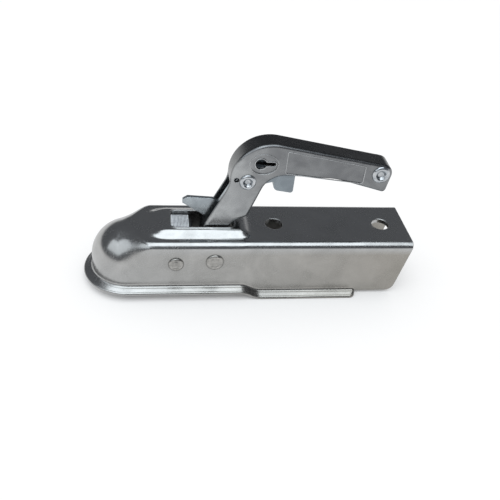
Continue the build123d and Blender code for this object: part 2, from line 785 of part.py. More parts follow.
keep("catch_lever", catch_lever())
keep("catch_bush", catch_bush())
keep("catch_spring", catch_spring())
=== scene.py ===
"""Looks of the trailer coupler: zinc plated pressings, rivets, springs, floor, light and camera."""

from __future__ import annotations

import json
import logging
import math
from dataclasses import dataclass, field
from enum import Enum

import bmesh
import bpy
import numpy as np
from mathutils import Matrix, Vector

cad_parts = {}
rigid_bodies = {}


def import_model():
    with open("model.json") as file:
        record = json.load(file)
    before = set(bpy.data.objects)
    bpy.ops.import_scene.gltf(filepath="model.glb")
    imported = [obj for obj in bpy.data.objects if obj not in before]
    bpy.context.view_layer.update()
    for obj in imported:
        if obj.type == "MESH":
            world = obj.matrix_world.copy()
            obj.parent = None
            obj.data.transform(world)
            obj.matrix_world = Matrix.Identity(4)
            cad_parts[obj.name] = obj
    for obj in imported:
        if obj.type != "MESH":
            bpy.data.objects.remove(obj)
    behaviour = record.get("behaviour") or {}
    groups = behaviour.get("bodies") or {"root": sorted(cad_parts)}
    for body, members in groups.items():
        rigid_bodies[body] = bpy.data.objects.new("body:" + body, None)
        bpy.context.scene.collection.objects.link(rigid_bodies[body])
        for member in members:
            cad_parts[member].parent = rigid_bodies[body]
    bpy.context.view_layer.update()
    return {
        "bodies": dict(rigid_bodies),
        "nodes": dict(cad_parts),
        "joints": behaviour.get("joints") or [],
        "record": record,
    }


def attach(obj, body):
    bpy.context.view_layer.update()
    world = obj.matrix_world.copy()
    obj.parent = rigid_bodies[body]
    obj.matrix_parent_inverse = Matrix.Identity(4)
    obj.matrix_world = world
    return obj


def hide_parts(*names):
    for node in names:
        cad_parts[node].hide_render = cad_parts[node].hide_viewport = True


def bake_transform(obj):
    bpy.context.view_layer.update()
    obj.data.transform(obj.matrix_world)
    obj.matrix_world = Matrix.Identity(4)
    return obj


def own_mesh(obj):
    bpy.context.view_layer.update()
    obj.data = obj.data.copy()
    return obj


log = logging.getLogger("coupler")

Pair = tuple[float, float]
Triple = tuple[float, float, float]
Socket = bpy.types.NodeSocket

MM = 0.001
MIRROR_Y = np.array([1.0, -1.0, 1.0])
DEGENERATE_SHARE = 0.1  # of the welding distance: shorter edges than this are taken out
SHEET_ANGLE = 40.0  # degrees: sharper edges stay hard on pressed sheet and rivets
WIRE_ANGLE = 60.0  # degrees: the same on wires and beads


# Curves and meshes

def smooth(t: np.ndarray) -> np.ndarray:
    """Eases from 0 to 1: three t squared less two t cubed, with t held between 0 and 1."""
    t = np.clip(t, 0.0, 1.0)
    return t * t * (3 - 2 * t)


def full_turn(count: int) -> np.ndarray:
    """Even angles once round in radians, without the last, which is the first again."""
    return np.linspace(0, 2 * np.pi, count, endpoint=False)


def on_circle(angle: np.ndarray) -> np.ndarray:
    """Cosine and sine of each angle, side by side."""
    return np.stack([np.cos(angle), np.sin(angle)], axis=-1)


def rounded_ramp(t: np.ndarray, bend: float) -> np.ndarray:
    """Rises from 0 to 1 along a straight slope with a parabola of the given length at each end.

    Args:
        t: how far along the slope, from 0 to 1.
        bend: share of the run that each parabola takes.

    Returns:
        The height, from 0 to 1.
    """
    t = np.clip(t, 0.0, 1.0)
    slope = 1 / (1 - bend)
    foot = slope * t * t / (2 * bend)
    middle = slope * (t - bend / 2)
    head = 1 - slope * (1 - t) ** 2 / (2 * bend)
    return np.where(t < bend, foot, np.where(t < 1 - bend, middle, head))


def arc(centre_d: np.ndarray, centre_z: np.ndarray, radius: np.ndarray, start: float, end: float,
        count: int) -> np.ndarray:
    """Points on one circular arc for each station.

    Args:
        centre_d: sideways place of each centre.
        centre_z: height of each centre.
        radius: radius at each station.
        start: first angle in degrees, from the sideways axis.
        end: last angle in degrees.
        count: points on the arc.

    Returns:
        Array (stations, count, 2): centre plus radius times cosine and sine of the angle.
    """
    angle = np.radians(np.linspace(start, end, count))[None, :]
    return np.stack([centre_d[:, None] + radius[:, None] * np.cos(angle),
                     centre_z[:, None] + radius[:, None] * np.sin(angle)], axis=2)


def between(first: np.ndarray, last: np.ndarray, count: int) -> np.ndarray:
    """Points inside the straight line between two points of each station, ends left out."""
    share = (np.arange(1, count + 1) / (count + 1))[None, :, None]
    return first[:, None, :] * (1 - share) + last[:, None, :] * share


def grid_faces(rows: int, columns: int, close_rows: bool = False, close_columns: bool = False) -> np.ndarray:
    """Quads of a grid of points, as numbers of its points counted row by row.

    Args:
        rows: rows of the grid.
        columns: points in each row.
        close_rows: joins the last row to the first.
        close_columns: joins the last point of each row to its first.

    Returns:
        Array (faces, 4).
    """
    number = np.arange(rows * columns).reshape(rows, columns)
    if close_rows:
        number = np.concatenate([number, number[:1]], axis=0)
    if close_columns:
        number = np.concatenate([number, number[:, :1]], axis=1)
    quads = [number[:-1, :-1], number[:-1, 1:], number[1:, 1:], number[1:, :-1]]
    return np.stack([q.ravel() for q in quads], axis=1)


def carry_circle(path: np.ndarray, radius: float, around: int, reference: Triple,
                 closed: bool = False) -> np.ndarray:
    """Carries a circle along a path, square to it.

    The circle's two directions are the path's own crossed with a reference that it never meets, and
    the path's own crossed with that.

    Args:
        path: array (points, 3), in order.
        radius: radius of the circle.
        around: points on the circle.
        reference: direction that no part of the path takes.
        closed: true where the end meets the start.

    Returns:
        Array (points, around, 3).
    """
    along = np.roll(path, -1, axis=0) - np.roll(path, 1, axis=0) if closed else np.gradient(path, axis=0)
    along /= np.linalg.norm(along, axis=1)[:, None]
    out = np.cross(along, np.array(reference))
    out /= np.linalg.norm(out, axis=1)[:, None]
    side = np.cross(along, out)
    ring = full_turn(around)[None, :, None]
    return path[:, None, :] + radius * (out[:, None, :] * np.cos(ring) + side[:, None, :] * np.sin(ring))


def soften_path(corners: np.ndarray, step: float, window: int, closed: bool = False) -> np.ndarray:
    """Rounds the bends of a path: even steps along it, then a running mean over a few of them.

    Args:
        corners: array (points, dimensions).
        step: length of a step.
        window: how many steps the mean takes, an odd number.
        closed: true where the end meets the start.

    Returns:
        The rounded path.
    """
    if closed:
        corners = np.concatenate([corners, corners[:1]])
    run = np.concatenate([[0], np.cumsum(np.linalg.norm(np.diff(corners, axis=0), axis=1))])
    even = np.linspace(0, run[-1], int(run[-1] / step) + 1)
    path = np.stack([np.interp(even, run, corners[:, k]) for k in range(corners.shape[1])], axis=1)
    if closed:
        path = path[:-1]
    padded = np.pad(path, ((window // 2, window // 2), (0, 0)), mode="wrap" if closed else "edge")
    kernel = np.ones(window) / window
    return np.stack([np.convolve(padded[:, k], kernel, "valid") for k in range(path.shape[1])], axis=1)


def closed_tube(rows: int, columns: int) -> list:
    """Faces of a carried circle with both ends shut."""
    faces = grid_faces(rows, columns, close_columns=True).tolist()
    return faces + [list(range(columns))[::-1], list(range((rows - 1) * columns, rows * columns))]


def add_object(name: str, data: bpy.types.ID) -> bpy.types.Object:
    """Makes an object of some data and links it to the scene.

    Args:
        name: the object's name.
        data: a mesh, lamp or camera.

    Returns:
        The object.
    """
    item = bpy.data.objects.new(name, data)
    bpy.context.scene.collection.objects.link(item)
    return item


def make_piece(name: str, points: np.ndarray, faces: np.ndarray | list, sharp_angle: float = 35.0,
               weld: float = 0.002) -> bpy.types.Object:
    """Puts points in millimetres and their faces into a new object, welded and shaded.

    Args:
        name: the piece's name.
        points: array (points, 3) in millimetres.
        faces: rows of point numbers.
        sharp_angle: edges sharper than this many degrees stay hard.
        weld: points nearer than this many millimetres become one.

    Returns:
        The object, linked to the scene.
    """
    mesh = bpy.data.meshes.new(name)
    rows = faces.tolist() if isinstance(faces, np.ndarray) else faces
    mesh.from_pydata((np.asarray(points).reshape(-1, 3) * MM).tolist(), [], rows)
    work = bmesh.new()
    work.from_mesh(mesh)
    bmesh.ops.remove_doubles(work, verts=work.verts, dist=weld * MM)
    bmesh.ops.dissolve_degenerate(work, edges=work.edges, dist=weld * MM * DEGENERATE_SHARE)
    bmesh.ops.recalc_face_normals(work, faces=work.faces)
    work.to_mesh(mesh)
    work.free()
    shade(mesh, sharp_angle)
    return add_object(name, mesh)


def shade(mesh: bpy.types.Mesh, sharp_angle: float) -> None:
    """Smooth shading with hard edges where the surface turns sharply.

    Args:
        mesh: the mesh.
        sharp_angle: edges sharper than this many degrees stay hard.
    """
    mesh.polygons.foreach_set("use_smooth", np.ones(len(mesh.polygons), dtype=bool))
    mesh.set_sharp_from_angle(angle=math.radians(sharp_angle))
    mesh.update()


def rounded_rectangle(half_x: float, half_y: float, radius: float, steps: int) -> np.ndarray:
    """Closed outline of a rectangle with quarter circle corners.

    Args:
        half_x: half its length.
        half_y: half its width.
        radius: radius of the corners.
        steps: points on each corner.

    Returns:
        Array (4 times steps, 2).
    """
    angle = np.radians(np.linspace(0, 90, steps))
    turns = []
    for quarter, (sx, sy) in enumerate(((1, 1), (-1, 1), (-1, -1), (1, -1))):
        centre = np.array([sx * (half_x - radius), sy * (half_y - radius)])
        turns.append(centre + radius * on_circle(angle + quarter * np.pi / 2))
    return np.concatenate(turns)


def flared_cutter(name: str, outline: np.ndarray, normals: np.ndarray, low: float, rim: float,
                  radius: float) -> bpy.types.Object:
    """A plug for cutting a hole whose upper rim is rounded.

    Below the rim the plug has the outline's own size. Over the last radius of its height it widens
    by radius less the root of radius squared less height squared, which is a quarter circle.

    Args:
        name: the cutter's name.
        outline: closed outline (x, y).
        normals: outward directions at its points.
        low: height of the plug's lower end.
        rim: height of the surface that it cuts.
        radius: radius of the rim.

    Returns:
        The cutter's object.
    """
    steps, last_angle, clear, head_room = 9, 86, 0.02, 12
    rise = radius * np.sin(np.radians(np.linspace(0, last_angle, steps)))
    heights = np.concatenate([[low], rim - radius + rise, [rim + clear, rim + head_room]])
    grow = np.concatenate([[0], radius - np.sqrt(radius ** 2 - rise ** 2), [radius, radius]])
    rings = outline[None, :, :] + normals[None, :, :] * grow[:, None, None]
    points = np.concatenate([rings, np.broadcast_to(heights[:, None, None], (*rings.shape[:2], 1))], axis=2)
    return make_piece(name, points, closed_tube(*points.shape[:2]))


def cut_away(piece: bpy.types.Object, cutters: list[bpy.types.Object], sharp_angle: float) -> None:
    """Cuts the plugs out of a piece and removes them.

    Args:
        piece: the piece to cut.
        cutters: closed plugs.
        sharp_angle: shading angle after the cut, in degrees.
    """
    for cutter in cutters:
        modifier = piece.modifiers.new("cut", "BOOLEAN")
        modifier.operation = "DIFFERENCE"
        modifier.solver = "EXACT"
        modifier.object = cutter
        graph = bpy.context.evaluated_depsgraph_get()
        mesh = bpy.data.meshes.new_from_object(piece.evaluated_get(graph))
        piece.modifiers.clear()
        piece.data = mesh
        bpy.data.objects.remove(cutter)
    shade(piece.data, sharp_angle)


def join(target: bpy.types.Object, others: list[bpy.types.Object]) -> None:
    """Adds the meshes of other pieces to a piece, and removes those pieces.

    Args:
        target: the piece that stays.
        others: the pieces that go into it.
    """
    work = bmesh.new()
    work.from_mesh(target.data)
    for other in others:
        work.from_mesh(other.data)
        bpy.data.objects.remove(other)
    work.to_mesh(target.data)
    work.free()


# Shader building blocks

class NodeTree:
    """Adds and links nodes in one node tree."""

    def __init__(self, tree: bpy.types.NodeTree) -> None:
        """Keeps the tree that the nodes go into."""
        self.tree = tree

    def give(self, socket: Socket, value: object) -> None:
        """Links a socket to an input, or sets the input's value.

        Args:
            socket: the input.
            value: the socket to link or the value to set.
        """
        if isinstance(value, Socket):
            self.tree.links.new(value, socket)
        else:
            socket.default_value = value

    def add(self, kind: str, inputs: dict[str | int, object] | None = None,
            **settings: object) -> bpy.types.Node:
        """Adds a node, sets its properties, and links or sets its inputs.

        Args:
            kind: Blender's type name of the node.
            inputs: sockets to link or values to set, by the input's name or number.
            settings: properties of the node.

        Returns:
            The new node.
        """
        node = self.tree.nodes.new(kind)
        for name, value in settings.items():
            setattr(node, name, value)
        for name, value in (inputs or {}).items():
            self.give(node.inputs[name], value)
        return node

    def math(self, operation: str, first: object, second: object = 0.0,
             clamp: bool = False) -> Socket:
        """Adds a Math node on two sockets or numbers and returns its result."""
        return self.add("ShaderNodeMath", {0: first, 1: second}, operation=operation,
                        use_clamp=clamp).outputs[0]

    def times(self, first: object, second: object) -> Socket:
        """Multiplies two sockets or numbers."""
        return self.math("MULTIPLY", first, second)

    def noise(self, place: object, scale: object, detail: float, **more: float) -> Socket:
        """Adds a noise texture and returns its value."""
        inputs = {"Vector": place, "Scale": scale, "Detail": detail, **more}
        return self.add("ShaderNodeTexNoise", inputs).outputs[0]

    def rescale(self, value: Socket, given: Pair, wanted: Pair,
                **settings: object) -> Socket:
        """Maps one range of a value on another, held inside it."""
        inputs = {0: value, 1: given[0], 2: given[1], 3: wanted[0], 4: wanted[1]}
        return self.add("ShaderNodeMapRange", inputs, **settings).outputs[0]

    def openness(self, distance: object, samples: int) -> Socket:
        """Share of the directions from a point that meet nothing within the distance."""
        return self.add("ShaderNodeAmbientOcclusion", {"Distance": distance}, samples=samples).outputs["AO"]

    def axis(self, vector: Socket, name: str) -> Socket:
        """One axis of a vector."""
        return self.add("ShaderNodeSeparateXYZ", {0: vector}).outputs[name]

    def blend(self, share: object, first: object, second: object, mode: str = "MIX") -> Socket:
        """Mixes two colours by a share.

        Args:
            share: share of the second colour.
            first: first colour.
            second: second colour.
            mode: Blender's name of the way to mix.

        Returns:
            The mixed colour.
        """
        node = self.add("ShaderNodeMix", data_type="RGBA", blend_type=mode)
        for name, value in (("Factor_Float", share), ("A_Color", first), ("B_Color", second)):
            self.give(next(s for s in node.inputs if s.identifier == name), value)
        return next(s for s in node.outputs if s.identifier == "Result_Color")

    def dim(self, colour: Socket, value: Socket) -> Socket:
        """Multiplies a colour by a value."""
        grey = self.add("ShaderNodeCombineColor", {0: value, 1: value, 2: value}).outputs[0]
        return self.blend(1.0, colour, grey, "MULTIPLY")


class Effect(Enum):
    """Shared surface effects, each one node group, made by the library's method of that name."""

    CLOUD = "plating_cloud"
    GRAIN = "press_grain"
    SCRATCH = "handling_scratch"
    EDGE = "worn_edge"
    DENT = "hammer_dent"
    SHADE_AND_DIRT = "crevice_shade_and_dirt"


class EffectLibrary:
    """Makes each effect's node group once and gives it to the materials."""

    def __init__(self) -> None:
        """Starts with no groups."""
        self.groups: dict[Effect, bpy.types.NodeTree] = {}

    def get(self, effect: Effect) -> bpy.types.NodeTree:
        """Finds the group of an effect, and makes it at its first use.

        Args:
            effect: the effect.

        Returns:
            Its node group.
        """
        if effect not in self.groups:
            self.groups[effect] = getattr(self, effect.value)()
        return self.groups[effect]

    @staticmethod
    def start(effect: Effect, inputs: dict[str, float | None],
              outputs: tuple[str, ...]) -> tuple[NodeTree, dict[str, Socket]]:
        """Opens the group of an effect and gives it its named sockets.

        Args:
            effect: the effect.
            inputs: names with default values, or None for a vector.
            outputs: names; one called Normal is a vector, the rest are values.

        Returns:
            The group's tree helper, and what comes in under each input's name.
        """
        group = bpy.data.node_groups.new(effect.value, "ShaderNodeTree")
        for name, value in inputs.items():
            kind = "NodeSocketVector" if value is None else "NodeSocketFloat"
            socket = group.interface.new_socket(name=name, in_out="INPUT", socket_type=kind)
            if value is not None:
                socket.default_value = value
        for name in outputs:
            kind = "NodeSocketVector" if name == "Normal" else "NodeSocketFloat"
            group.interface.new_socket(name=name, in_out="OUTPUT", socket_type=kind)
        tree = NodeTree(group)
        node = tree.add("NodeGroupInput")
        return tree, {name: node.outputs[name] for name in inputs}

    def plating_cloud(self) -> bpy.types.NodeTree:
        """Soft uneven patches in the plating: noise, spread about its middle value.

        Returns:
            The group.
        """
        inputs = {"Vector": None, "Scale": 60.0, "Contrast": 0.5}
        tree, given = self.start(Effect.CLOUD, inputs, ("Mask",))
        middle, steepness = 0.5, 6.0
        broad = tree.noise(given["Vector"], given["Scale"], 3.0, Roughness=0.6, Distortion=0.6)
        lean = tree.math("SUBTRACT", broad, middle)
        spread = tree.times(lean, tree.times(given["Contrast"], steepness))
        tree.add("NodeGroupOutput", {"Mask": tree.math("ADD", spread, middle, clamp=True)})
        return tree.tree

    def press_grain(self) -> bpy.types.NodeTree:
        """Fine pebbled grain of pressed and plated sheet: coarse noise plus a share of fine noise.

        Returns:
            The group.
        """
        tree, given = self.start(Effect.GRAIN, {"Vector": None, "Scale": 900.0}, ("Height",))
        fineness, fine_share = 2.7, 0.5
        coarse = tree.noise(given["Vector"], given["Scale"], 2.0, Roughness=0.65)
        fine = tree.noise(given["Vector"], tree.times(given["Scale"], fineness), 1.0)
        total = tree.math("ADD", coarse, tree.times(fine, fine_share))
        tree.add("NodeGroupOutput", {"Height": tree.math("DIVIDE", total, 1 + fine_share)})
        return tree.tree

    def handling_scratch(self) -> bpy.types.NodeTree:
        """Thin scratches two ways: stretched noise, kept where it lies close to its middle value.

        Returns:
            The group.
        """
        inputs = {"Vector": None, "Scale": 60.0, "Coverage": 0.3}
        tree, given = self.start(Effect.SCRATCH, inputs, ("Mask",))
        middle, thinness, bare_limit, cover_gain, patch_edge = 0.5, 0.008, 0.72, 0.4, 12.0
        masks = []
        for turn, stretch in (((0.3, 0.2, 0.5), (0.6, 14.0, 14.0)), ((0.1, -0.4, -0.3), (11.0, 0.7, 11.0))):
            placed = {"Vector": given["Vector"], "Rotation": turn, "Scale": stretch}
            turned = tree.add("ShaderNodeMapping", placed).outputs[0]
            noise = tree.noise(turned, given["Scale"], 1.0, Distortion=0.3)
            away = tree.math("ABSOLUTE", tree.math("SUBTRACT", noise, middle))
            masks.append(tree.rescale(away, (0.0, thinness), (1.0, 0.0)))
        patch = tree.noise(given["Vector"], given["Scale"], 1.0)
        limit = tree.math("SUBTRACT", bare_limit, tree.times(given["Coverage"], cover_gain))
        above = tree.math("MULTIPLY", tree.math("SUBTRACT", patch, limit), patch_edge, clamp=True)
        tree.add("NodeGroupOutput", {"Mask": tree.times(tree.math("MAXIMUM", *masks), above)})
        return tree.tree

    def worn_edge(self) -> bpy.types.NodeTree:
        """Rounded edge normal, and a mask of how far it turns from the surface's own normal.

        Returns:
            The group.
        """
        tree, given = self.start(Effect.EDGE, {"Radius": 0.0005}, ("Mask", "Normal"))
        likeness = (0.80, 0.995)
        soft = tree.add("ShaderNodeBevel", {"Radius": given["Radius"]}, samples=6).outputs[0]
        own = tree.add("ShaderNodeNewGeometry").outputs["Normal"]
        dot = tree.add("ShaderNodeVectorMath", {0: soft, 1: own}, operation="DOT_PRODUCT").outputs["Value"]
        tree.add("NodeGroupOutput", {"Mask": tree.rescale(dot, likeness, (1.0, 0.0)), "Normal": soft})
        return tree.tree

    def hammer_dent(self) -> bpy.types.NodeTree:
        """Small flats left by the riveting tool: smooth cells, low in their middles.

        Returns:
            The group.
        """
        tree, given = self.start(Effect.DENT, {"Vector": None, "Scale": 400.0}, ("Height",))
        cells = tree.add("ShaderNodeTexVoronoi", {**given, "Smoothness": 0.6}, feature="SMOOTH_F1")
        tree.add("NodeGroupOutput", {"Height": cells.outputs["Distance"]})
        return tree.tree

    def crevice_shade_and_dirt(self) -> bpy.types.NodeTree:
        """Painted shade and dull dirt in corners: nearby surfaces found by occlusion, broken up by noise.

        Returns:
            The group.
        """
        inputs = {"Vector": None, "Distance": 0.004, "Amount": 0.5}
        tree, given = self.start(Effect.SHADE_AND_DIRT, inputs, ("Mask",))
        shut_range, break_range, break_share = (0.35, 0.85), (0.3, 0.6), (0.35, 1.0)
        near = tree.openness(given["Distance"], 4)
        noise = tree.noise(given["Vector"], 500.0, 3.0)
        broken = tree.times(tree.rescale(near, shut_range, (1.0, 0.0)),
                            tree.rescale(noise, break_range, break_share))
        tree.add("NodeGroupOutput", {"Mask": tree.times(broken, given["Amount"])})
        return tree.tree


@dataclass(frozen=True)
class MetalFinish:
    """One metal finish: its two tints, its gloss and its marks, and the material that shows them.

    Painted shade: tints from the rear_start on are multiplied by a darker rear tint, below the height
    rear_below only, which on the body's walls is the painted warm reflection of the floor; faces that
    don't look sideways are dimmed by a factor, the painted dark reflection on the handle's web. Places
    are metres; edge and grain sizes, millimetres.
    """

    name: str
    tint: Triple
    shade: Triple
    gloss: Pair = (0.22, 0.36)
    cloud_scale: float = 70.0
    cloud_contrast: float = 0.5
    grain_scale: float = 900.0
    grain_height: float = 0.02
    gloss_grain: Pair = (0.4, 0.65)
    gloss_change: Pair = (-0.03, 0.05)
    speckle_grain: Pair = (0.42, 0.62)
    speckle: Pair = (0.975, 1.02)
    scratch_cover: float = 0.3
    scratch_scale: float = 60.0
    scratch_share: float = 0.35
    scratch_gloss: float = 0.12
    scratch_depth: float = 0.4
    edge_radius: float = 0.4
    edge_gain: float = 0.25
    edge_lift: float = 0.02
    edge_share: float = 0.7
    dent_scale: float = 0.0
    dent_height: float = 0.0
    # painted shade and dirt in crevices: its amount, its added roughness and its dark tint
    shade_and_dirt: float = 0.5
    shade_and_dirt_gloss: float = 0.35
    shade_and_dirt_tint: Triple = (0.05, 0.045, 0.04)
    # painted shade: the darker tint towards the rear
    rear_painted_shade: Triple | None = None
    rear_start: float = 0.03
    rear_end: float = 0.22
    rear_below: float = 1.0
    rear_fade: float = 0.006
    # painted shade: dimming of faces that don't look sideways
    web_painted_shade: float = 1.0
    web_facing: Pair = (0.25, 0.75)
    metallic: float = 1.0

    def material(self, library: EffectLibrary) -> bpy.types.Material:
        """Builds the material from the shared effects.

        Args:
            library: gives the effects' node groups.

        Returns:
            The finish as a material.
        """
        material = bpy.data.materials.new(self.name)
        material.use_nodes = True
        tree = NodeTree(material.node_tree)
        shader = material.node_tree.nodes["Principled BSDF"]
        place = tree.add("ShaderNodeTexCoord").outputs["Object"]

        def effect(kind: Effect, **inputs: object) -> bpy.types.Node:
            """Adds one effect's group with its inputs."""
            return tree.add("ShaderNodeGroup", inputs, node_tree=library.get(kind))

        cloud = effect(Effect.CLOUD, Vector=place, Scale=self.cloud_scale,
                       Contrast=self.cloud_contrast).outputs[0]
        grain = effect(Effect.GRAIN, Vector=place, Scale=self.grain_scale).outputs[0]
        scratch = effect(Effect.SCRATCH, Vector=place, Scale=self.scratch_scale,
                         Coverage=self.scratch_cover).outputs[0]
        edge = effect(Effect.EDGE, Radius=self.edge_radius * MM)
        shade_and_dirt = effect(Effect.SHADE_AND_DIRT, Vector=place, Amount=self.shade_and_dirt).outputs[0]

        colour = tree.blend(cloud, (*self.tint, 1.0), (*self.shade, 1.0))
        # painted shade: darker towards the rear below a given height; on the body, the painted warm
        # reflection of the floor
        if self.rear_painted_shade:
            along = tree.rescale(tree.axis(place, "X"), (self.rear_start, self.rear_end), (0.0, 1.0))
            fade = (self.rear_below - self.rear_fade, self.rear_below)
            low = tree.rescale(tree.axis(place, "Z"), fade, (1.0, 0.0))
            colour = tree.blend(tree.times(along, low), colour, (*self.rear_painted_shade, 1.0), "MULTIPLY")
        # painted shade: faces that don't look sideways are dimmed, a painted dark reflection
        if self.web_painted_shade < 1:
            facing = tree.add("ShaderNodeNewGeometry").outputs["Normal"]
            sideways = tree.math("ABSOLUTE", tree.axis(facing, "Y"))
            colour = tree.dim(colour, tree.rescale(sideways, self.web_facing, (self.web_painted_shade, 1.0)))
        colour = tree.dim(colour, tree.rescale(grain, self.speckle_grain, self.speckle))
        bright = (*(min(1.0, v * (1 + self.edge_gain) + self.edge_lift) for v in self.tint), 1.0)
        colour = tree.blend(tree.times(edge.outputs["Mask"], self.edge_share), colour, bright)
        colour = tree.blend(tree.times(scratch, self.scratch_share), colour, bright)
        # painted shade and dirt: corners found by occlusion go towards the dark tint
        colour = tree.blend(shade_and_dirt, colour, (*self.shade_and_dirt_tint, 1.0))

        rough = tree.rescale(cloud, (0.0, 1.0), self.gloss)
        rough = tree.math("ADD", rough, tree.rescale(grain, self.gloss_grain, self.gloss_change))
        rough = tree.math("ADD", rough, tree.times(scratch, self.scratch_gloss))
        rough = tree.math("ADD", rough, tree.times(shade_and_dirt, self.shade_and_dirt_gloss), clamp=True)

        height = tree.math("SUBTRACT", grain, tree.times(scratch, self.scratch_depth))
        normal = edge.outputs["Normal"]
        reliefs = [(height, self.grain_height)]
        if self.dent_scale:
            dent = effect(Effect.DENT, Vector=place, Scale=self.dent_scale).outputs[0]
            reliefs.append((dent, self.dent_height))
        for relief, depth in reliefs:
            normal = tree.add("ShaderNodeBump", {"Strength": 1.0, "Distance": depth * MM, "Height": relief,
                                                 "Normal": normal}).outputs[0]
        for name, value in (("Metallic", self.metallic), ("Base Color", colour), ("Roughness", rough),
                            ("Normal", normal)):
            tree.give(shader.inputs[name], value)
        return material


# body: its rear tint is the painted warm reflection of the floor on the walls, darker towards the rear
BODY_ZINC = MetalFinish(
    "body_zinc", tint=(0.50, 0.505, 0.505), shade=(0.42, 0.425, 0.425), gloss=(0.17, 0.27), cloud_scale=40.0,
    grain_scale=700.0, grain_height=0.0015, scratch_cover=0.35, edge_radius=0.5,
    rear_painted_shade=(0.78, 0.735, 0.67), rear_start=-0.05, rear_below=0.026, shade_and_dirt=0.6)
# handle: painted shade, darker from the neck towards the grip, and on the web that faces up
HANDLE_ZINC = MetalFinish(
    "handle_zinc", tint=(0.48, 0.495, 0.50), shade=(0.36, 0.37, 0.38), gloss=(0.20, 0.32), cloud_scale=55.0,
    grain_scale=1100.0, grain_height=0.008, scratch_cover=0.4, edge_radius=1.2, web_painted_shade=0.4,
    rear_painted_shade=(0.52, 0.52, 0.53), rear_start=0.07, rear_end=0.115, shade_and_dirt=0.2)
BEAD_ZINC = MetalFinish(
    "bead_zinc", tint=(0.52, 0.53, 0.54), shade=(0.36, 0.37, 0.38), gloss=(0.18, 0.28), grain_height=0.006,
    edge_radius=0.2)
# catch: painted shade, darker towards the trigger behind the pivot
CATCH_ZINC = MetalFinish(
    "catch_zinc", tint=(0.50, 0.55, 0.58), shade=(0.38, 0.42, 0.45), gloss=(0.22, 0.34),
    rear_painted_shade=(0.60, 0.62, 0.64), rear_start=0.07, rear_end=0.10, grain_height=0.006, edge_radius=0.5)
PIVOT_RIVET_ZINC = MetalFinish(
    "pivot_rivet_zinc", tint=(0.46, 0.45, 0.43), shade=(0.33, 0.325, 0.31), gloss=(0.24, 0.36),
    cloud_scale=260.0, grain_height=0.010, dent_scale=420.0, dent_height=0.18, edge_radius=0.4)
TUBE_RIVET_ZINC = MetalFinish(
    "tube_rivet_zinc", tint=(0.60, 0.62, 0.64), shade=(0.42, 0.45, 0.48), gloss=(0.14, 0.24),
    cloud_scale=300.0, grain_height=0.004, edge_radius=0.2)
SPACER_ZINC = MetalFinish(
    "spacer_zinc", tint=(0.44, 0.44, 0.43), shade=(0.34, 0.34, 0.335), grain_height=0.008)
JAW_STEEL = MetalFinish(
    "jaw_steel", tint=(0.20, 0.20, 0.205), shade=(0.12, 0.12, 0.125), gloss=(0.30, 0.48), grain_height=0.05,
    grain_scale=600.0, scratch_cover=0.5, edge_gain=0.9, shade_and_dirt=0.8)
BUSH_BRONZE = MetalFinish(
    "bush_bronze", tint=(0.50, 0.36, 0.19), shade=(0.36, 0.25, 0.12), gloss=(0.28, 0.42), grain_height=0.012)
SPRING_STEEL = MetalFinish(
    "spring_steel", tint=(0.93, 0.95, 0.97), shade=(0.85, 0.88, 0.91), gloss=(0.30, 0.42), metallic=0.05,
    cloud_scale=200.0, grain_height=0.004, scratch_cover=0.1, edge_radius=0.1, shade_and_dirt=0.1)
FINISHES = {finish.name: finish for finish in (
    BODY_ZINC, HANDLE_ZINC, BEAD_ZINC, CATCH_ZINC, PIVOT_RIVET_ZINC, TUBE_RIVET_ZINC, SPACER_ZINC, JAW_STEEL,
    BUSH_BRONZE, SPRING_STEEL)}


class Paint:
    """Gives each piece the material of its finish."""

    def __init__(self) -> None:
        """Starts with an empty library."""
        self.library = EffectLibrary()
        self.made: dict[str, bpy.types.Material] = {}

    def dress(self, piece: bpy.types.Object, name: str) -> None:
        """Puts a finish on every face of a piece, and makes its material at its first use.

        Args:
            piece: the piece.
            name: the finish's name.
        """
        if name not in self.made:
            self.made[name] = FINISHES[name].material(self.library)
        piece.data.materials.clear()
        piece.data.materials.append(self.made[name])


# Pieces

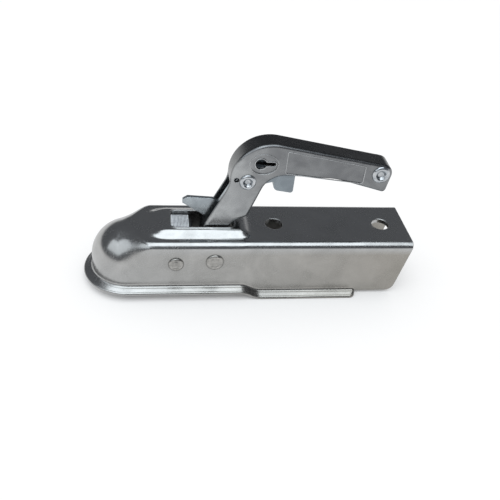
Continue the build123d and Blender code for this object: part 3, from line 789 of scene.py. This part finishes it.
@dataclass
class PressedBody:
    """The pressed shell as one carried profile: flange, wall, rounded edge and top, inside and out.

    A station is a cross-section. Straight stations stand across the drawbar, and the dome's stations
    turn about the upright axis of the ball. Sizes are millimetres, and bolt_step is degrees. A
    run of stations is its first place, its end and its step. A layer of the tab is its depth in the
    sheet and how far its outline is drawn in. A rounding takes at most round_share of the flange's
    width, so that it dies out with the flange.
    """

    half: float = 29.0
    sheet: float = 3.5
    dome_top: float = 29.0
    plate_top: float = 30.0
    dome_corner: float = 28.6
    plate_corner: float = 5.7
    shoulder_start: float = -7.0
    shoulder_length: float = 25.0
    end_x: float = 226.6
    end_lean: float = 0.185
    end_corner: float = 7.0
    straight_end: float = 200.0
    front_floor: float = -14.1
    rear_floor: float = -19.9
    tail_floor: float = -17.8
    flange_width: float = 7.0
    flange_end: float = 185.0
    flange_corner: float = 5.0
    flange_droop: float = 1.25
    flange_round: float = 1.6
    flange_low_round: float = 0.6
    root_radius: float = 2.5
    bend_start: float = 87.0
    bend_length: float = 20.0
    joggle_x: float = 88.0
    joggle_run: float = 3.0
    joggle_depth: float = 0.3
    wall_edge: float = 0.5
    boss_height: float = 4.5
    boss_front: float = 31.0
    boss_rear: float = 86.0
    boss_half: float = 12.6
    boss_front_run: float = 20.0
    boss_side_run: float = 9.8
    boss_bend: float = 0.42
    boss_rear_run: float = 13.0
    slot_front: float = 33.0
    slot_rear: float = 81.2
    slot_half: float = 10.8
    slot_corner: float = 4.0
    slot_rim: float = 0.9
    lip_height: float = 0.45
    lip_start: float = 0.9
    lip_width: float = 1.7
    bolt_xs: Pair = (115.8, 205.8)
    bolt_radius: float = 7.0
    bolt_rim: float = 0.7
    bolt_step: float = 5.0
    slot_plug_low: float = 24.0
    bolt_plug_low: float = 20.0
    tab_half: float = 8.0
    tab_low: float = 17.6
    tab_corner: float = 3.0
    tab_layers: tuple[Pair, ...] = ((0.0, 0.5), (0.15, 0.15), (0.5, 0.0))
    round_share: float = 0.45
    bend_spare: float = 0.7
    least_corner: float = 0.3
    runs: tuple[Triple, ...] = ((0, 20.5, 1.0), (21.2, 28, 1.2), (28.4, 35, 0.55),
                                                    (36.2, 78, 1.2), (78.4, 85, 0.55), (86.2, 110, 1.2))
    plain_step: float = 3.0
    tail_stations: Pair = (190.0, 195.0)
    corner_steps: int = 9
    slant_steps: int = 15
    slot_steps: int = 14
    root_steps: int = 6
    flange_steps: int = 5
    edge_steps: int = 8
    low_steps: int = 4
    under_steps: int = 7
    bend_steps: int = 8
    upper_steps: int = 76
    wall_steps: int = 14
    dome_steps: int = 34

    def straight_stations(self) -> tuple[np.ndarray, np.ndarray]:
        """Places of the straight stations and how far each is along the slanted end.

        Returns:
            X of each station, and its share of the way from straight_end to the rear edge.
        """
        corner = self.flange_end - self.flange_corner
        xs = np.concatenate([*(np.arange(*run) for run in self.runs),
                             np.arange(self.runs[-1][1], corner, self.plain_step),
                             np.linspace(corner, self.flange_end, self.corner_steps),
                             [self.flange_end, *self.tail_stations, self.straight_end]])
        slanted = np.linspace(0, 1, self.slant_steps)[1:]
        return (np.concatenate([xs, np.full(len(slanted), self.straight_end)]),
                np.concatenate([np.zeros(len(xs)), slanted]))

    def floor(self, x: np.ndarray) -> np.ndarray:
        """Height of the flange's underside: level, then two parabolas down, then level.

        Args:
            x: places along the drawbar.

        Returns:
            The heights.
        """
        t = np.clip((x - self.bend_start) / self.bend_length, 0, 1)
        drop = np.where(t < 0.5, 2 * t * t, 1 - 2 * (1 - t) ** 2)
        return self.front_floor + (self.rear_floor - self.front_floor) * drop

    def boss(self, x: np.ndarray, d: np.ndarray) -> np.ndarray:
        """Rise of the ground round the slot.

        The distance outside the level top counts as a share of the slope's run, front, side or rear,
        taken together as the root of the sum of squares, and a rounded ramp of it falls to nothing.
        A low lip follows the slot: it eases to nothing with the distance from the slot's outline.

        Args:
            x: places along the drawbar.
            d: distances from the middle.

        Returns:
            The rise at each point.
        """
        ahead = np.maximum(self.boss_front - x, 0) / self.boss_front_run
        behind = np.maximum(x - self.boss_rear, 0) / self.boss_rear_run
        beside = np.maximum(d - self.boss_half, 0) / self.boss_side_run
        share = np.sqrt((ahead + behind) ** 2 + beside ** 2)
        rise = self.boss_height * (1 - rounded_ramp(share, self.boss_bend))
        half_x = (self.slot_rear - self.slot_front) / 2
        over_x = np.maximum(np.abs(x - self.slot_front - half_x) - half_x + self.slot_corner, 0)
        over_d = np.maximum(d - self.slot_half + self.slot_corner, 0)
        away = np.hypot(over_x, over_d) - self.slot_corner
        return rise + self.lip_height * (1 - smooth((away - self.lip_start) / self.lip_width))

    def profile(self, x: np.ndarray, flanged: np.ndarray, dome: bool) -> np.ndarray:
        """Half profile of each station, from the ridge outside round the flange to the ridge inside.

        In the dome the rounded edge's radius follows each point's own place along the drawbar, so that
        the dome meets the first straight station without a crease.

        Args:
            x: place of each station along the drawbar.
            flanged: true where the station has a flange.
            dome: true for the stations of the dome.

        Returns:
            Array (stations, points, 2) of distance from the middle and height.
        """
        ease = 0 * x if dome else smooth((x - self.shoulder_start) / self.shoulder_length)
        lift = 0 * x if dome else smooth(x / (self.shoulder_start + self.shoulder_length))
        corner = self.dome_corner + (self.plate_corner - self.dome_corner) * ease
        top = self.dome_top + (self.plate_top - self.dome_top) * lift
        half = self.half - self.joggle_depth * smooth((x - self.joggle_x) / self.joggle_run)
        into = np.clip(x - self.flange_end + self.flange_corner, 0, self.flange_corner)
        width = self.flange_width - self.flange_corner + np.sqrt(self.flange_corner ** 2 - into ** 2)
        width = np.where(flanged, width, 0.0)
        floor = np.where(flanged, self.floor(x), self.tail_floor)
        most = width * self.round_share
        root = np.where(flanged, np.minimum(self.root_radius, most), 0.0)
        droop = self.flange_droop * np.clip(width / self.flange_width, 0, 1)
        rounding = np.where(flanged, np.minimum(self.flange_round, most), 0.0)
        low = np.where(flanged, self.flange_low_round, self.wall_edge)
        thick = np.where(flanged, self.sheet, self.wall_edge)
        bend = np.minimum(self.root_radius + self.sheet, width + self.sheet - self.bend_spare)
        bend = np.where(flanged, bend, self.wall_edge)

        # outside and inside of the top and its rounded edge, at equal steps of length
        flat = half - corner
        run = (flat + corner * np.pi / 2)[:, None] * np.linspace(0, 1, self.upper_steps + 1)[None, :]
        angle = np.maximum(run - flat[:, None], 0) / corner[:, None]
        sideways = np.minimum(run, flat[:, None])
        inner_corner = np.maximum(corner - self.sheet, self.least_corner)
        skins = []
        for depth, radius in ((0.0, corner[:, None]), (self.sheet, inner_corner[:, None])):
            reach = sideways + radius * np.sin(angle)
            level = top[:, None] - depth - radius + radius * np.cos(angle)
            if dome:
                own = smooth((reach * x[:, None] / self.half - self.shoulder_start) / self.shoulder_length)
                bent = self.dome_corner + (self.plate_corner - self.dome_corner) * own - depth
                past = np.maximum(reach - (self.half - depth - bent), 0)
                level = self.dome_top - depth - bent + np.sqrt(np.maximum(bent ** 2 - past ** 2, 0))
            skins.append(np.stack([reach, level], axis=2))
        outside, inside = skins
        edge_z = floor + thick - droop - rounding
        root_arc = arc(half + root, floor + thick + root, root, 180, 270, self.root_steps)
        edge_arc = arc(half + width - rounding, edge_z, rounding, 90, 0, self.edge_steps)
        low_arc = arc(half + width - low, floor + low, low, 0, -90, self.low_steps)
        bend_arc = arc(half - self.sheet + bend, floor + bend, bend, 270, 180, self.bend_steps)
        return np.concatenate([
            outside, between(outside[:, -1], root_arc[:, 0], self.wall_steps), root_arc,
            between(root_arc[:, -1], edge_arc[:, 0], self.flange_steps), edge_arc, low_arc,
            between(low_arc[:, -1], bend_arc[:, 0], self.under_steps), bend_arc,
            between(bend_arc[:, -1], inside[:, -1], self.wall_steps), inside[:, ::-1]], axis=1)

    def straight_half(self) -> np.ndarray:
        """Points of the straight stations on the near side, from the rear edge to the dome.

        Behind straight_end each level is stretched to the slanted edge, and the lower corner is round.

        Returns:
            Array (stations, points, 3).
        """
        xs, share = self.straight_stations()
        flanged = np.arange(len(xs)) <= int(np.argmax(xs >= self.flange_end))
        section = self.profile(xs, flanged, dome=False)
        d, z = section[..., 0], section[..., 1]
        z = z + self.boss(xs[:, None], d)
        lean = np.hypot(1, self.end_lean)
        centre_z = self.tail_floor + self.end_corner
        centre_x = self.end_x - self.end_lean * (self.plate_top - centre_z) - self.end_corner * lean
        turn = math.pi / 2 - math.atan(self.end_lean)
        level = centre_x - self.straight_end
        along = share * (level + self.end_corner * turn)
        angle = np.maximum(along - level, 0) / self.end_corner
        low_x = self.straight_end + np.minimum(along, level) + self.end_corner * np.sin(angle)
        low_z = centre_z - self.end_corner * np.cos(angle)
        high_x = self.straight_end + share * (self.end_x - self.straight_end)
        up = (z - self.tail_floor) / (self.plate_top - self.tail_floor)
        end_x = low_x[:, None] + (high_x - low_x)[:, None] * up
        end_z = low_z[:, None] + (self.plate_top - low_z)[:, None] * up
        slanted = (share > 0)[:, None]
        x, z = np.where(slanted, end_x, xs[:, None]), np.where(slanted, end_z, z)
        return np.stack([x, -d, z], axis=2)[::-1]

    def dome_half(self) -> np.ndarray:
        """Points of the dome's stations on the near side, from the side to the front.

        Returns:
            Array (stations, points, 3).
        """
        turn = np.radians(np.linspace(0, 90, self.dome_steps + 1))[1:]
        section = self.profile(-self.half * np.sin(turn), np.ones_like(turn, dtype=bool), dome=True)
        d, z = section[..., 0], section[..., 1]
        return np.stack([-d * np.sin(turn)[:, None], -d * np.cos(turn)[:, None], z], axis=2)

    def shell(self) -> bpy.types.Object:
        """Makes the uncut shell: near half, the same mirrored, and the two end faces.

        Returns:
            The shell.
        """
        near = np.concatenate([self.straight_half(), self.dome_half()])
        points = np.concatenate([near, (near * MIRROR_Y)[::-1][1:]])
        rows, columns = points.shape[:2]
        k = np.arange(columns // 2 - 1)
        cap = np.stack([k, k + 1, columns - 2 - k, columns - 1 - k], axis=1)
        last = cap + (rows - 1) * columns
        faces = np.concatenate([grid_faces(rows, columns), cap, last[:, ::-1]])
        return make_piece("pressed_body", points, faces, SHEET_ANGLE)

    def plugs(self) -> list[bpy.types.Object]:
        """Makes the cutters for the slot and the two bolt holes, with rounded rims.

        Returns:
            The cutters.
        """
        half_x = (self.slot_rear - self.slot_front) / 2
        outline = rounded_rectangle(half_x, self.slot_half, self.slot_corner, self.slot_steps)
        outline[:, 0] += (self.slot_front + self.slot_rear) / 2
        normals = np.concatenate([on_circle(np.radians(np.linspace(90 * q, 90 * q + 90, self.slot_steps)))
                                  for q in range(4)])
        top = self.plate_top + self.boss_height + self.lip_height
        cutters = [flared_cutter("slot_plug", outline, normals, self.slot_plug_low, top, self.slot_rim)]
        circle = on_circle(np.radians(np.arange(self.bolt_step / 2, 360, self.bolt_step)))
        for x in self.bolt_xs:
            cutters.append(flared_cutter("bolt_plug", circle * self.bolt_radius + np.array([x, 0.0]), circle,
                                         self.bolt_plug_low, self.plate_top, self.bolt_rim))
        return cutters

    def tab(self) -> bpy.types.Object:
        """Makes the tab turned down at the slot's front: a rounded outline carried through the sheet.

        Each layer is the same outline, drawn in near the two faces so that their edges are rounded.

        Returns:
            The tab.
        """
        top = self.plate_top + self.boss_height - self.sheet / 2
        half_z = (top - self.tab_low) / 2
        into, draw = np.array(self.tab_layers).T
        depth = np.concatenate([into, (self.sheet - into)[::-1]])
        flat = np.stack([rounded_rectangle(self.tab_half - inset, half_z - inset, self.tab_corner - inset, 8)
                         for inset in np.concatenate([draw, draw[::-1]])])
        x = np.broadcast_to((self.slot_front - self.sheet + depth)[:, None], flat.shape[:2])
        points = np.stack([x, flat[..., 0], flat[..., 1] + self.tab_low + half_z], axis=2)
        return make_piece("spring_tab", points, closed_tube(*points.shape[:2]))

    def build(self, paint: Paint) -> bpy.types.Object:
        """Makes the shell with its holes and tab in place of the plain one.

        Args:
            paint: gives the finish.

        Returns:
            The finished piece.
        """
        shell = self.shell()
        cut_away(shell, self.plugs(), SHEET_ANGLE)
        join(shell, [self.tab()])
        paint.dress(shell, "body_zinc")
        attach(shell, "body")
        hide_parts("coupling_body")
        return shell


@dataclass
class JawSpring:
    """Close wound oval coil round the jaw's stud. Sizes are millimetres."""

    start: float = 33.15
    end: float = 47.35
    axis_z: float = 25.9
    half_width: float = 10.3
    half_height: float = 8.0
    squareness: float = 3.6
    wire: float = 0.45
    turns: float = 13.0
    first_angle: float = 0.6
    around: int = 12
    per_turn: int = 64

    def build(self, paint: Paint) -> bpy.types.Object:
        """Carries a small circle along a helix whose first and last turns lie flat.

        The turns are a superellipse: half size times cosine and sine, each to the power of two over
        the squareness with its sign kept. They move on with the angle by a share that eases in and
        out over one turn. The wire's circle stands square to the path.

        Args:
            paint: gives the finish.

        Returns:
            The coil.
        """
        count = int(self.turns * self.per_turn)
        t = np.linspace(0, 1, count + 1)
        angle = 2 * np.pi * self.turns * t + self.first_angle
        share = rounded_ramp(t, 1 / self.turns)
        low, high = self.start + self.wire, self.end - self.wire
        power = 2 / self.squareness
        turned = on_circle(angle)
        reach = np.array([self.half_width, self.half_height]) - self.wire
        oval = np.array([0.0, self.axis_z]) + reach * np.sign(turned) * np.abs(turned) ** power
        centre = np.column_stack([low + (high - low) * share, oval])
        points = carry_circle(centre, self.wire, self.around, (1.0, 0.0, 0.0))
        coil = make_piece("jaw_coil", points, closed_tube(*points.shape[:2]), WIRE_ANGLE)
        paint.dress(coil, "spring_steel")
        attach(coil, "body")
        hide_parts("jaw_spring")
        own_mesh(coil)
        return coil


@dataclass
class CatchSpring:
    """Torsion spring round the catch's sleeve, hooked in the handle and resting on the trigger.

    Sizes are millimetres.
    """

    x: float = 89.1
    z: float = 75.1
    coil: float = 5.96
    wire: float = 0.7
    turns: int = 4
    half_length: float = 3.0
    anchor_x: float = 80.7
    anchor_z: float = 76.5
    anchor_y: float = 9.5
    rest_x: float = 110.5
    rest_z: float = 74.5
    around: int = 12
    per_turn: int = 48
    step: float = 0.35
    softening: int = 5

    def build(self, paint: Paint) -> bpy.types.Object:
        """Carries a circle along hook, helix and rest leg as one softened path.

        The helix is the pivot plus the coil's radius times cosine and sine of an angle that runs
        backwards, while its place along the pivot moves evenly.

        Args:
            paint: gives the finish.

        Returns:
            The spring.
        """
        edge, over = self.x + self.coil, self.z + self.coil
        half = self.half_length
        turn = np.linspace(0, -2 * np.pi * self.turns, self.turns * self.per_turn + 1)
        helix = np.stack([self.x + self.coil * np.cos(turn), np.linspace(half, -half, len(turn)),
                          self.z + self.coil * np.sin(turn)], axis=1)
        hook = np.array([[self.anchor_x, self.anchor_y, self.anchor_z], [self.anchor_x, half, self.anchor_z],
                         [self.anchor_x, half, over], [edge - 1, half, over]])
        leg = np.array([[self.rest_x, -half, self.rest_z]])
        path = soften_path(np.concatenate([hook, helix, leg]), self.step, self.softening)
        points = carry_circle(path, self.wire, self.around, (0.0, 0.8, 0.6))
        spring = make_piece("catch_coil", points, closed_tube(*points.shape[:2]), WIRE_ANGLE)
        paint.dress(spring, "spring_steel")
        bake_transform(spring)
        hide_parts("catch_spring")
        return spring


class HeadStyle(Enum):
    """How a rivet's head was formed."""

    ROLLED = "rolled"
    HAMMERED = "hammered"


@dataclass
class FormedRivet:
    """A rivet across the part, turned about its axis and marked by its forming. Sizes are millimetres."""

    node: str
    body: str
    slot: str
    style: HeadStyle
    x: float
    z: float
    plate: float
    shaft: float
    head: float
    height: float
    around: int = 96
    steps: int = 40

    def head_height(self, radius: np.ndarray, angle: np.ndarray) -> np.ndarray:
        """Height of the head above the plate.

        Rolled: a quarter ellipse outside the crest, a half cosine down to a sunk middle inside it.
        Hammered: a flat crown that falls off by a fourth root at the rim, less a ring left by the
        tool, plus a low dome in the middle. Both carry small waves round the axis.

        Args:
            radius: distance from the axis.
            angle: angle round the axis.

        Returns:
            The height.
        """
        share = radius / self.head
        if self.style is HeadStyle.ROLLED:
            crest, sunk, pit = 0.66, 0.26, 0.7
            outside = self.height * np.sqrt(np.clip(1 - ((share - crest) / (1 - crest)) ** 2, 0, 1))
            turn = np.clip((share - sunk) / (crest - sunk), 0, 1)
            inside = (self.height + pit) * (0.5 - 0.5 * np.cos(np.pi * turn)) - pit
            height = np.where(share > crest, outside, inside)
            waves = ((0.03, 2, 0.7), (0.02, 5, 0.0))
        else:
            ring, ring_width, ring_depth = 0.60, 0.09, 0.32
            middle_width, middle_rise = 0.35, 0.10
            height = (self.height * np.clip(1 - share ** 5, 0, 1) ** 0.4
                      - ring_depth * np.exp(-((share - ring) / ring_width) ** 2)
                      + middle_rise * np.exp(-(share / middle_width) ** 2))
            waves = ((0.10, 2, 1.1), (0.06, 5, 0.3))
        wave = sum(size * np.sin(count * angle + start) for size, count, start in waves)
        return height + wave * np.sin(np.pi * np.clip(share, 0, 1)) ** 2

    def build(self, paint: Paint) -> bpy.types.Object:
        """Turns the near head, the shaft and the far head as one closed surface.

        Args:
            paint: gives the finish.

        Returns:
            The rivet.
        """
        angle = full_turn(self.around)[None, :]
        radius = self.head * np.sin(np.linspace(0, np.pi / 2, self.steps))[:, None]
        near_y = -self.plate - self.head_height(radius, angle)
        near_y[-1] = -self.plate
        near = np.stack([self.x + radius * np.cos(angle), near_y, self.z + radius * np.sin(angle)], axis=2)
        edge = np.array([self.shaft, self.shaft])[:, None]
        ends = np.array([-self.plate, self.plate])[:, None] + 0 * angle
        shaft = np.stack([self.x + edge * np.cos(angle), ends, self.z + edge * np.sin(angle)], axis=2)
        points = np.concatenate([near, shaft, (near * MIRROR_Y)[::-1]])
        faces = grid_faces(*points.shape[:2], close_columns=True)
        piece = make_piece(self.node + "_formed", points, faces, SHEET_ANGLE)
        paint.dress(piece, self.slot)
        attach(piece, self.body)
        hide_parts(self.node)
        return piece


@dataclass
class KeyholeBeads:
    """Raised beads round keyhole, oval recess and grip's panel, on both sides. Sizes are millimetres."""

    x: float = 97.7
    z: float = 90.3
    hole: float = 4.3
    slit: float = 1.7
    slit_length: float = 9.7
    oval_x: float = 100.0
    oval_half_x: float = 10.8
    oval_half_z: float = 8.4
    panel: tuple[Pair, ...] = ((116.8, 101.37), (178.2, 90.24), (178.2, 75.24),
                                              (116.8, 82.77))
    side: float = 9.5
    sunk: float = 0.8
    bead: float = 0.55
    grow_share: float = 0.6
    oval_sunk: float = 0.1
    oval_bead: float = 0.35
    panel_sunk: float = 0.15
    panel_bead: float = 0.42
    panel_step: float = 0.5
    panel_softening: int = 7
    around: int = 14

    def keyhole(self) -> np.ndarray:
        """Outline of a round hole with a round-ended slit to the rear, grown by most of the bead.

        Returns:
            Array (points, 2).
        """
        grow = self.bead * self.grow_share
        hole, slit = self.hole + grow, self.slit + grow
        start = math.asin(slit / hole)
        first = hole * on_circle(np.linspace(start, 2 * np.pi - start, 60))
        run = np.linspace(first[-1, 0], self.slit_length, 12)[1:-1]
        low = np.stack([run, np.full_like(run, -slit)], axis=1)
        end = np.array([self.slit_length, 0.0]) + slit * on_circle(np.linspace(-np.pi / 2, np.pi / 2, 24))
        high = np.stack([run[::-1], np.full_like(run, slit)], axis=1)
        return np.concatenate([first, low, end, high]) + np.array([self.x, self.z])

    def oval(self) -> np.ndarray:
        """Outline of the recess's ellipse."""
        reach = np.array([self.oval_half_x, self.oval_half_z])
        return np.array([self.oval_x, self.z]) + reach * on_circle(full_turn(120))

    def build(self, paint: Paint) -> bpy.types.Object:
        """Makes the beads of both sides as one piece.

        Args:
            paint: gives the finish.

        Returns:
            The beads.
        """
        panel = soften_path(np.array(self.panel), self.panel_step, self.panel_softening, closed=True)
        parts = []
        for side in (-1, 1):
            for outline, sunk, radius in ((self.keyhole(), self.sunk, self.bead),
                                          (self.oval(), self.oval_sunk, self.oval_bead),
                                          (panel, self.panel_sunk, self.panel_bead)):
                y = np.full(len(outline), side * (self.side - sunk))
                path = np.stack([outline[:, 0], y, outline[:, 1]], axis=1)
                points = carry_circle(path, radius, self.around, (0.0, -1.0, 0.0), closed=True)
                faces = grid_faces(*points.shape[:2], close_rows=True, close_columns=True)
                parts.append(make_piece("bead", points, faces, WIRE_ANGLE))
        beads = parts[0]
        join(beads, parts[1:])
        beads.name = "keyhole_beads"
        paint.dress(beads, "bead_zinc")
        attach(beads, "handle")
        return beads


@dataclass
class CarriedNodes:
    """The CAD pieces that keep their own shape and get their finish here."""

    replaced: tuple[str, ...] = ("coupling_body", "jaw_spring", "jaw_rivet", "handle_rivet",
                                 "catch_pivot_rivet", "handle_end_rivet", "catch_spring")

    def dress(self, frame: dict, paint: Paint) -> None:
        """Puts each node's finish on it, from the record's own list.

        Args:
            paint: gives the finishes.
        """
        slots = {part["node"]: part["material_slot"] for part in frame["record"]["subparts"]}
        for name, node in frame["nodes"].items():
            if name in self.replaced:
                continue
            paint.dress(node, slots[name])
            log.info("%s: %s, %d faces", name, slots[name], len(node.data.polygons))


# Studio

@dataclass
class Softbox:
    """A rectangular lamp aimed at the part. Sizes are metres, power is watts."""

    name: str
    place: Triple
    width: float
    height: float
    power: float
    colour: Triple = (0.90, 0.96, 1.0)
    aim: Triple = (0.1, 0.0, 0.02)

    def build(self) -> None:
        """Adds the lamp."""
        lamp = bpy.data.lights.new(self.name, "AREA")
        lamp.shape = "RECTANGLE"
        lamp.size = self.width
        lamp.size_y = self.height
        lamp.energy = self.power
        lamp.color = self.colour
        item = add_object(self.name, lamp)
        item.location = self.place
        item.rotation_euler = (Vector(self.aim) - Vector(self.place)).to_track_quat("-Z", "Y").to_euler()


@dataclass
class Studio:
    """Pale floor, dim walls and soft lamps."""

    floor_z: float
    floor_size: float = 12.0
    floor_colour: Triple = (0.88, 0.88, 0.88)
    floor_own_light: float = 0.84
    seen_gain: float = 0.12
    shadow_reach: float = 0.12
    low_sky: Triple = (0.92, 0.92, 0.92)
    high_sky: Triple = (0.13, 0.135, 0.145)
    sky_band: Pair = (0.08, 0.18)
    lamps: list[Softbox] = field(default_factory=lambda: [
        Softbox("over_box", (0.1, -0.35, 2.4), 2.4, 2.4, 36.0),
        Softbox("side_box", (-0.66, -0.63, 0.85), 1.5, 0.75, 3.6),
    ])

    def build(self) -> None:
        """Makes the floor, the world and the lamps."""
        self.floor()
        self.world()
        for lamp in self.lamps:
            lamp.build()

    def floor(self) -> None:
        """A wide floor that is pale by its own colour and keeps the part's shadow.

        Its share of own light falls with the occlusion, so it stays dark under and beside the part. The
        camera sees that light a little stronger than reflections do, so that the floor comes out white.
        """
        mesh = bpy.data.meshes.new("floor")
        half = self.floor_size / 2
        corners = [(x * half, y * half, self.floor_z) for x, y in ((-1, -1), (1, -1), (1, 1), (-1, 1))]
        mesh.from_pydata(corners, [], [(0, 1, 2, 3)])
        material = bpy.data.materials.new("pale_floor")
        material.use_nodes = True
        tree = NodeTree(material.node_tree)
        material.node_tree.nodes.clear()
        diffuse = tree.add("ShaderNodeBsdfDiffuse", {"Color": (*self.floor_colour, 1.0)})
        rays = tree.add("ShaderNodeLightPath").outputs
        strength = tree.math("ADD", tree.times(rays["Is Camera Ray"], self.seen_gain), 1.0)
        glow = tree.add("ShaderNodeEmission", {"Color": (1.0, 1.0, 1.0, 1.0), "Strength": strength})
        seen = tree.math("MAXIMUM", rays["Is Camera Ray"],
                         tree.math("MAXIMUM", rays["Is Glossy Ray"], rays["Is Transmission Ray"]))
        share = tree.times(tree.times(seen, self.floor_own_light), tree.openness(self.shadow_reach, 8))
        mix = tree.add("ShaderNodeMixShader", {0: share, 1: diffuse.outputs[0], 2: glow.outputs[0]})
        tree.add("ShaderNodeOutputMaterial", {0: mix.outputs[0]})
        mesh.materials.append(material)
        add_object("floor", mesh)

    def world(self) -> None:
        """Light by the direction's height: pale at the horizon, dim from a few degrees up."""
        world = bpy.data.worlds.new("studio")
        bpy.context.scene.world = world
        world.use_nodes = True
        tree = NodeTree(world.node_tree)
        world.node_tree.nodes.clear()
        height = tree.axis(tree.add("ShaderNodeTexCoord").outputs["Generated"], "Z")
        share = tree.rescale(height, self.sky_band, (0.0, 1.0), interpolation_type="SMOOTHSTEP")
        colour = tree.blend(share, (*self.low_sky, 1.0), (*self.high_sky, 1.0))
        background = tree.add("ShaderNodeBackground", {0: colour, 1: 1.0})
        tree.add("ShaderNodeOutputWorld", {0: background.outputs[0]})


@dataclass
class PhotoCamera:
    """The camera at the photograph's place. Lengths are metres, the sensor's width millimetres."""

    place: Triple = (0.01665, -0.4031, 0.3250)
    right: Triple = (0.98750, -0.12472, 0.09638)
    down: Triple = (-0.00256, -0.62407, -0.78136)
    forward: Triple = (0.15760, 0.77135, -0.61659)
    focal_pixels: float = 628.9
    image_pixels: float = 500.0
    sensor: float = 36.0
    nearest: float = 0.01

    def build(self) -> None:
        """Adds the camera and makes it the scene's own."""
        data = bpy.data.cameras.new("photo_camera")
        data.sensor_width = self.sensor
        data.lens = self.focal_pixels / self.image_pixels * self.sensor
        data.clip_start = self.nearest
        camera = add_object("photo_camera", data)
        axes = (Vector(self.right), -Vector(self.down), -Vector(self.forward))
        turn = Matrix([list(axis) for axis in axes]).transposed().to_4x4()
        camera.matrix_world = Matrix.Translation(self.place) @ turn
        bpy.context.scene.camera = camera


def main() -> None:
    """Loads the frame, makes and dresses the pieces, and sets up floor, light and camera."""
    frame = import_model()
    bpy.context.scene.view_settings.view_transform = "Standard"
    PhotoCamera().build()
    Studio(floor_z=-0.0201).build()
    paint = Paint()
    pivot = {"body": "body", "slot": "pivot_rivet_zinc", "style": HeadStyle.HAMMERED, "plate": 29.0,
             "shaft": 5.0, "height": 1.9}
    tube = {"body": "handle", "slot": "tube_rivet_zinc", "style": HeadStyle.ROLLED, "plate": 9.5,
            "height": 1.8}
    rivets = [
        FormedRivet(node="jaw_rivet", x=36.7, z=12.0, head=6.0, **pivot),
        FormedRivet(node="handle_rivet", x=66.6, z=14.0, head=7.0, **pivot),
        FormedRivet(node="catch_pivot_rivet", x=89.1, z=75.1, shaft=4.0, head=6.4, **tube),
        FormedRivet(node="handle_end_rivet", x=191.1, z=83.5, shaft=3.8, head=7.0, **tube),
    ]
    for builder in (PressedBody(), JawSpring(), CatchSpring(), *rivets, KeyholeBeads()):
        piece = builder.build(paint)
        log.info("%s: %d faces", piece.name, len(piece.data.polygons))
    CarriedNodes().dress(frame, paint)


if __name__ == "__main__":
    logging.basicConfig(level=logging.INFO, format="%(message)s")
    main()
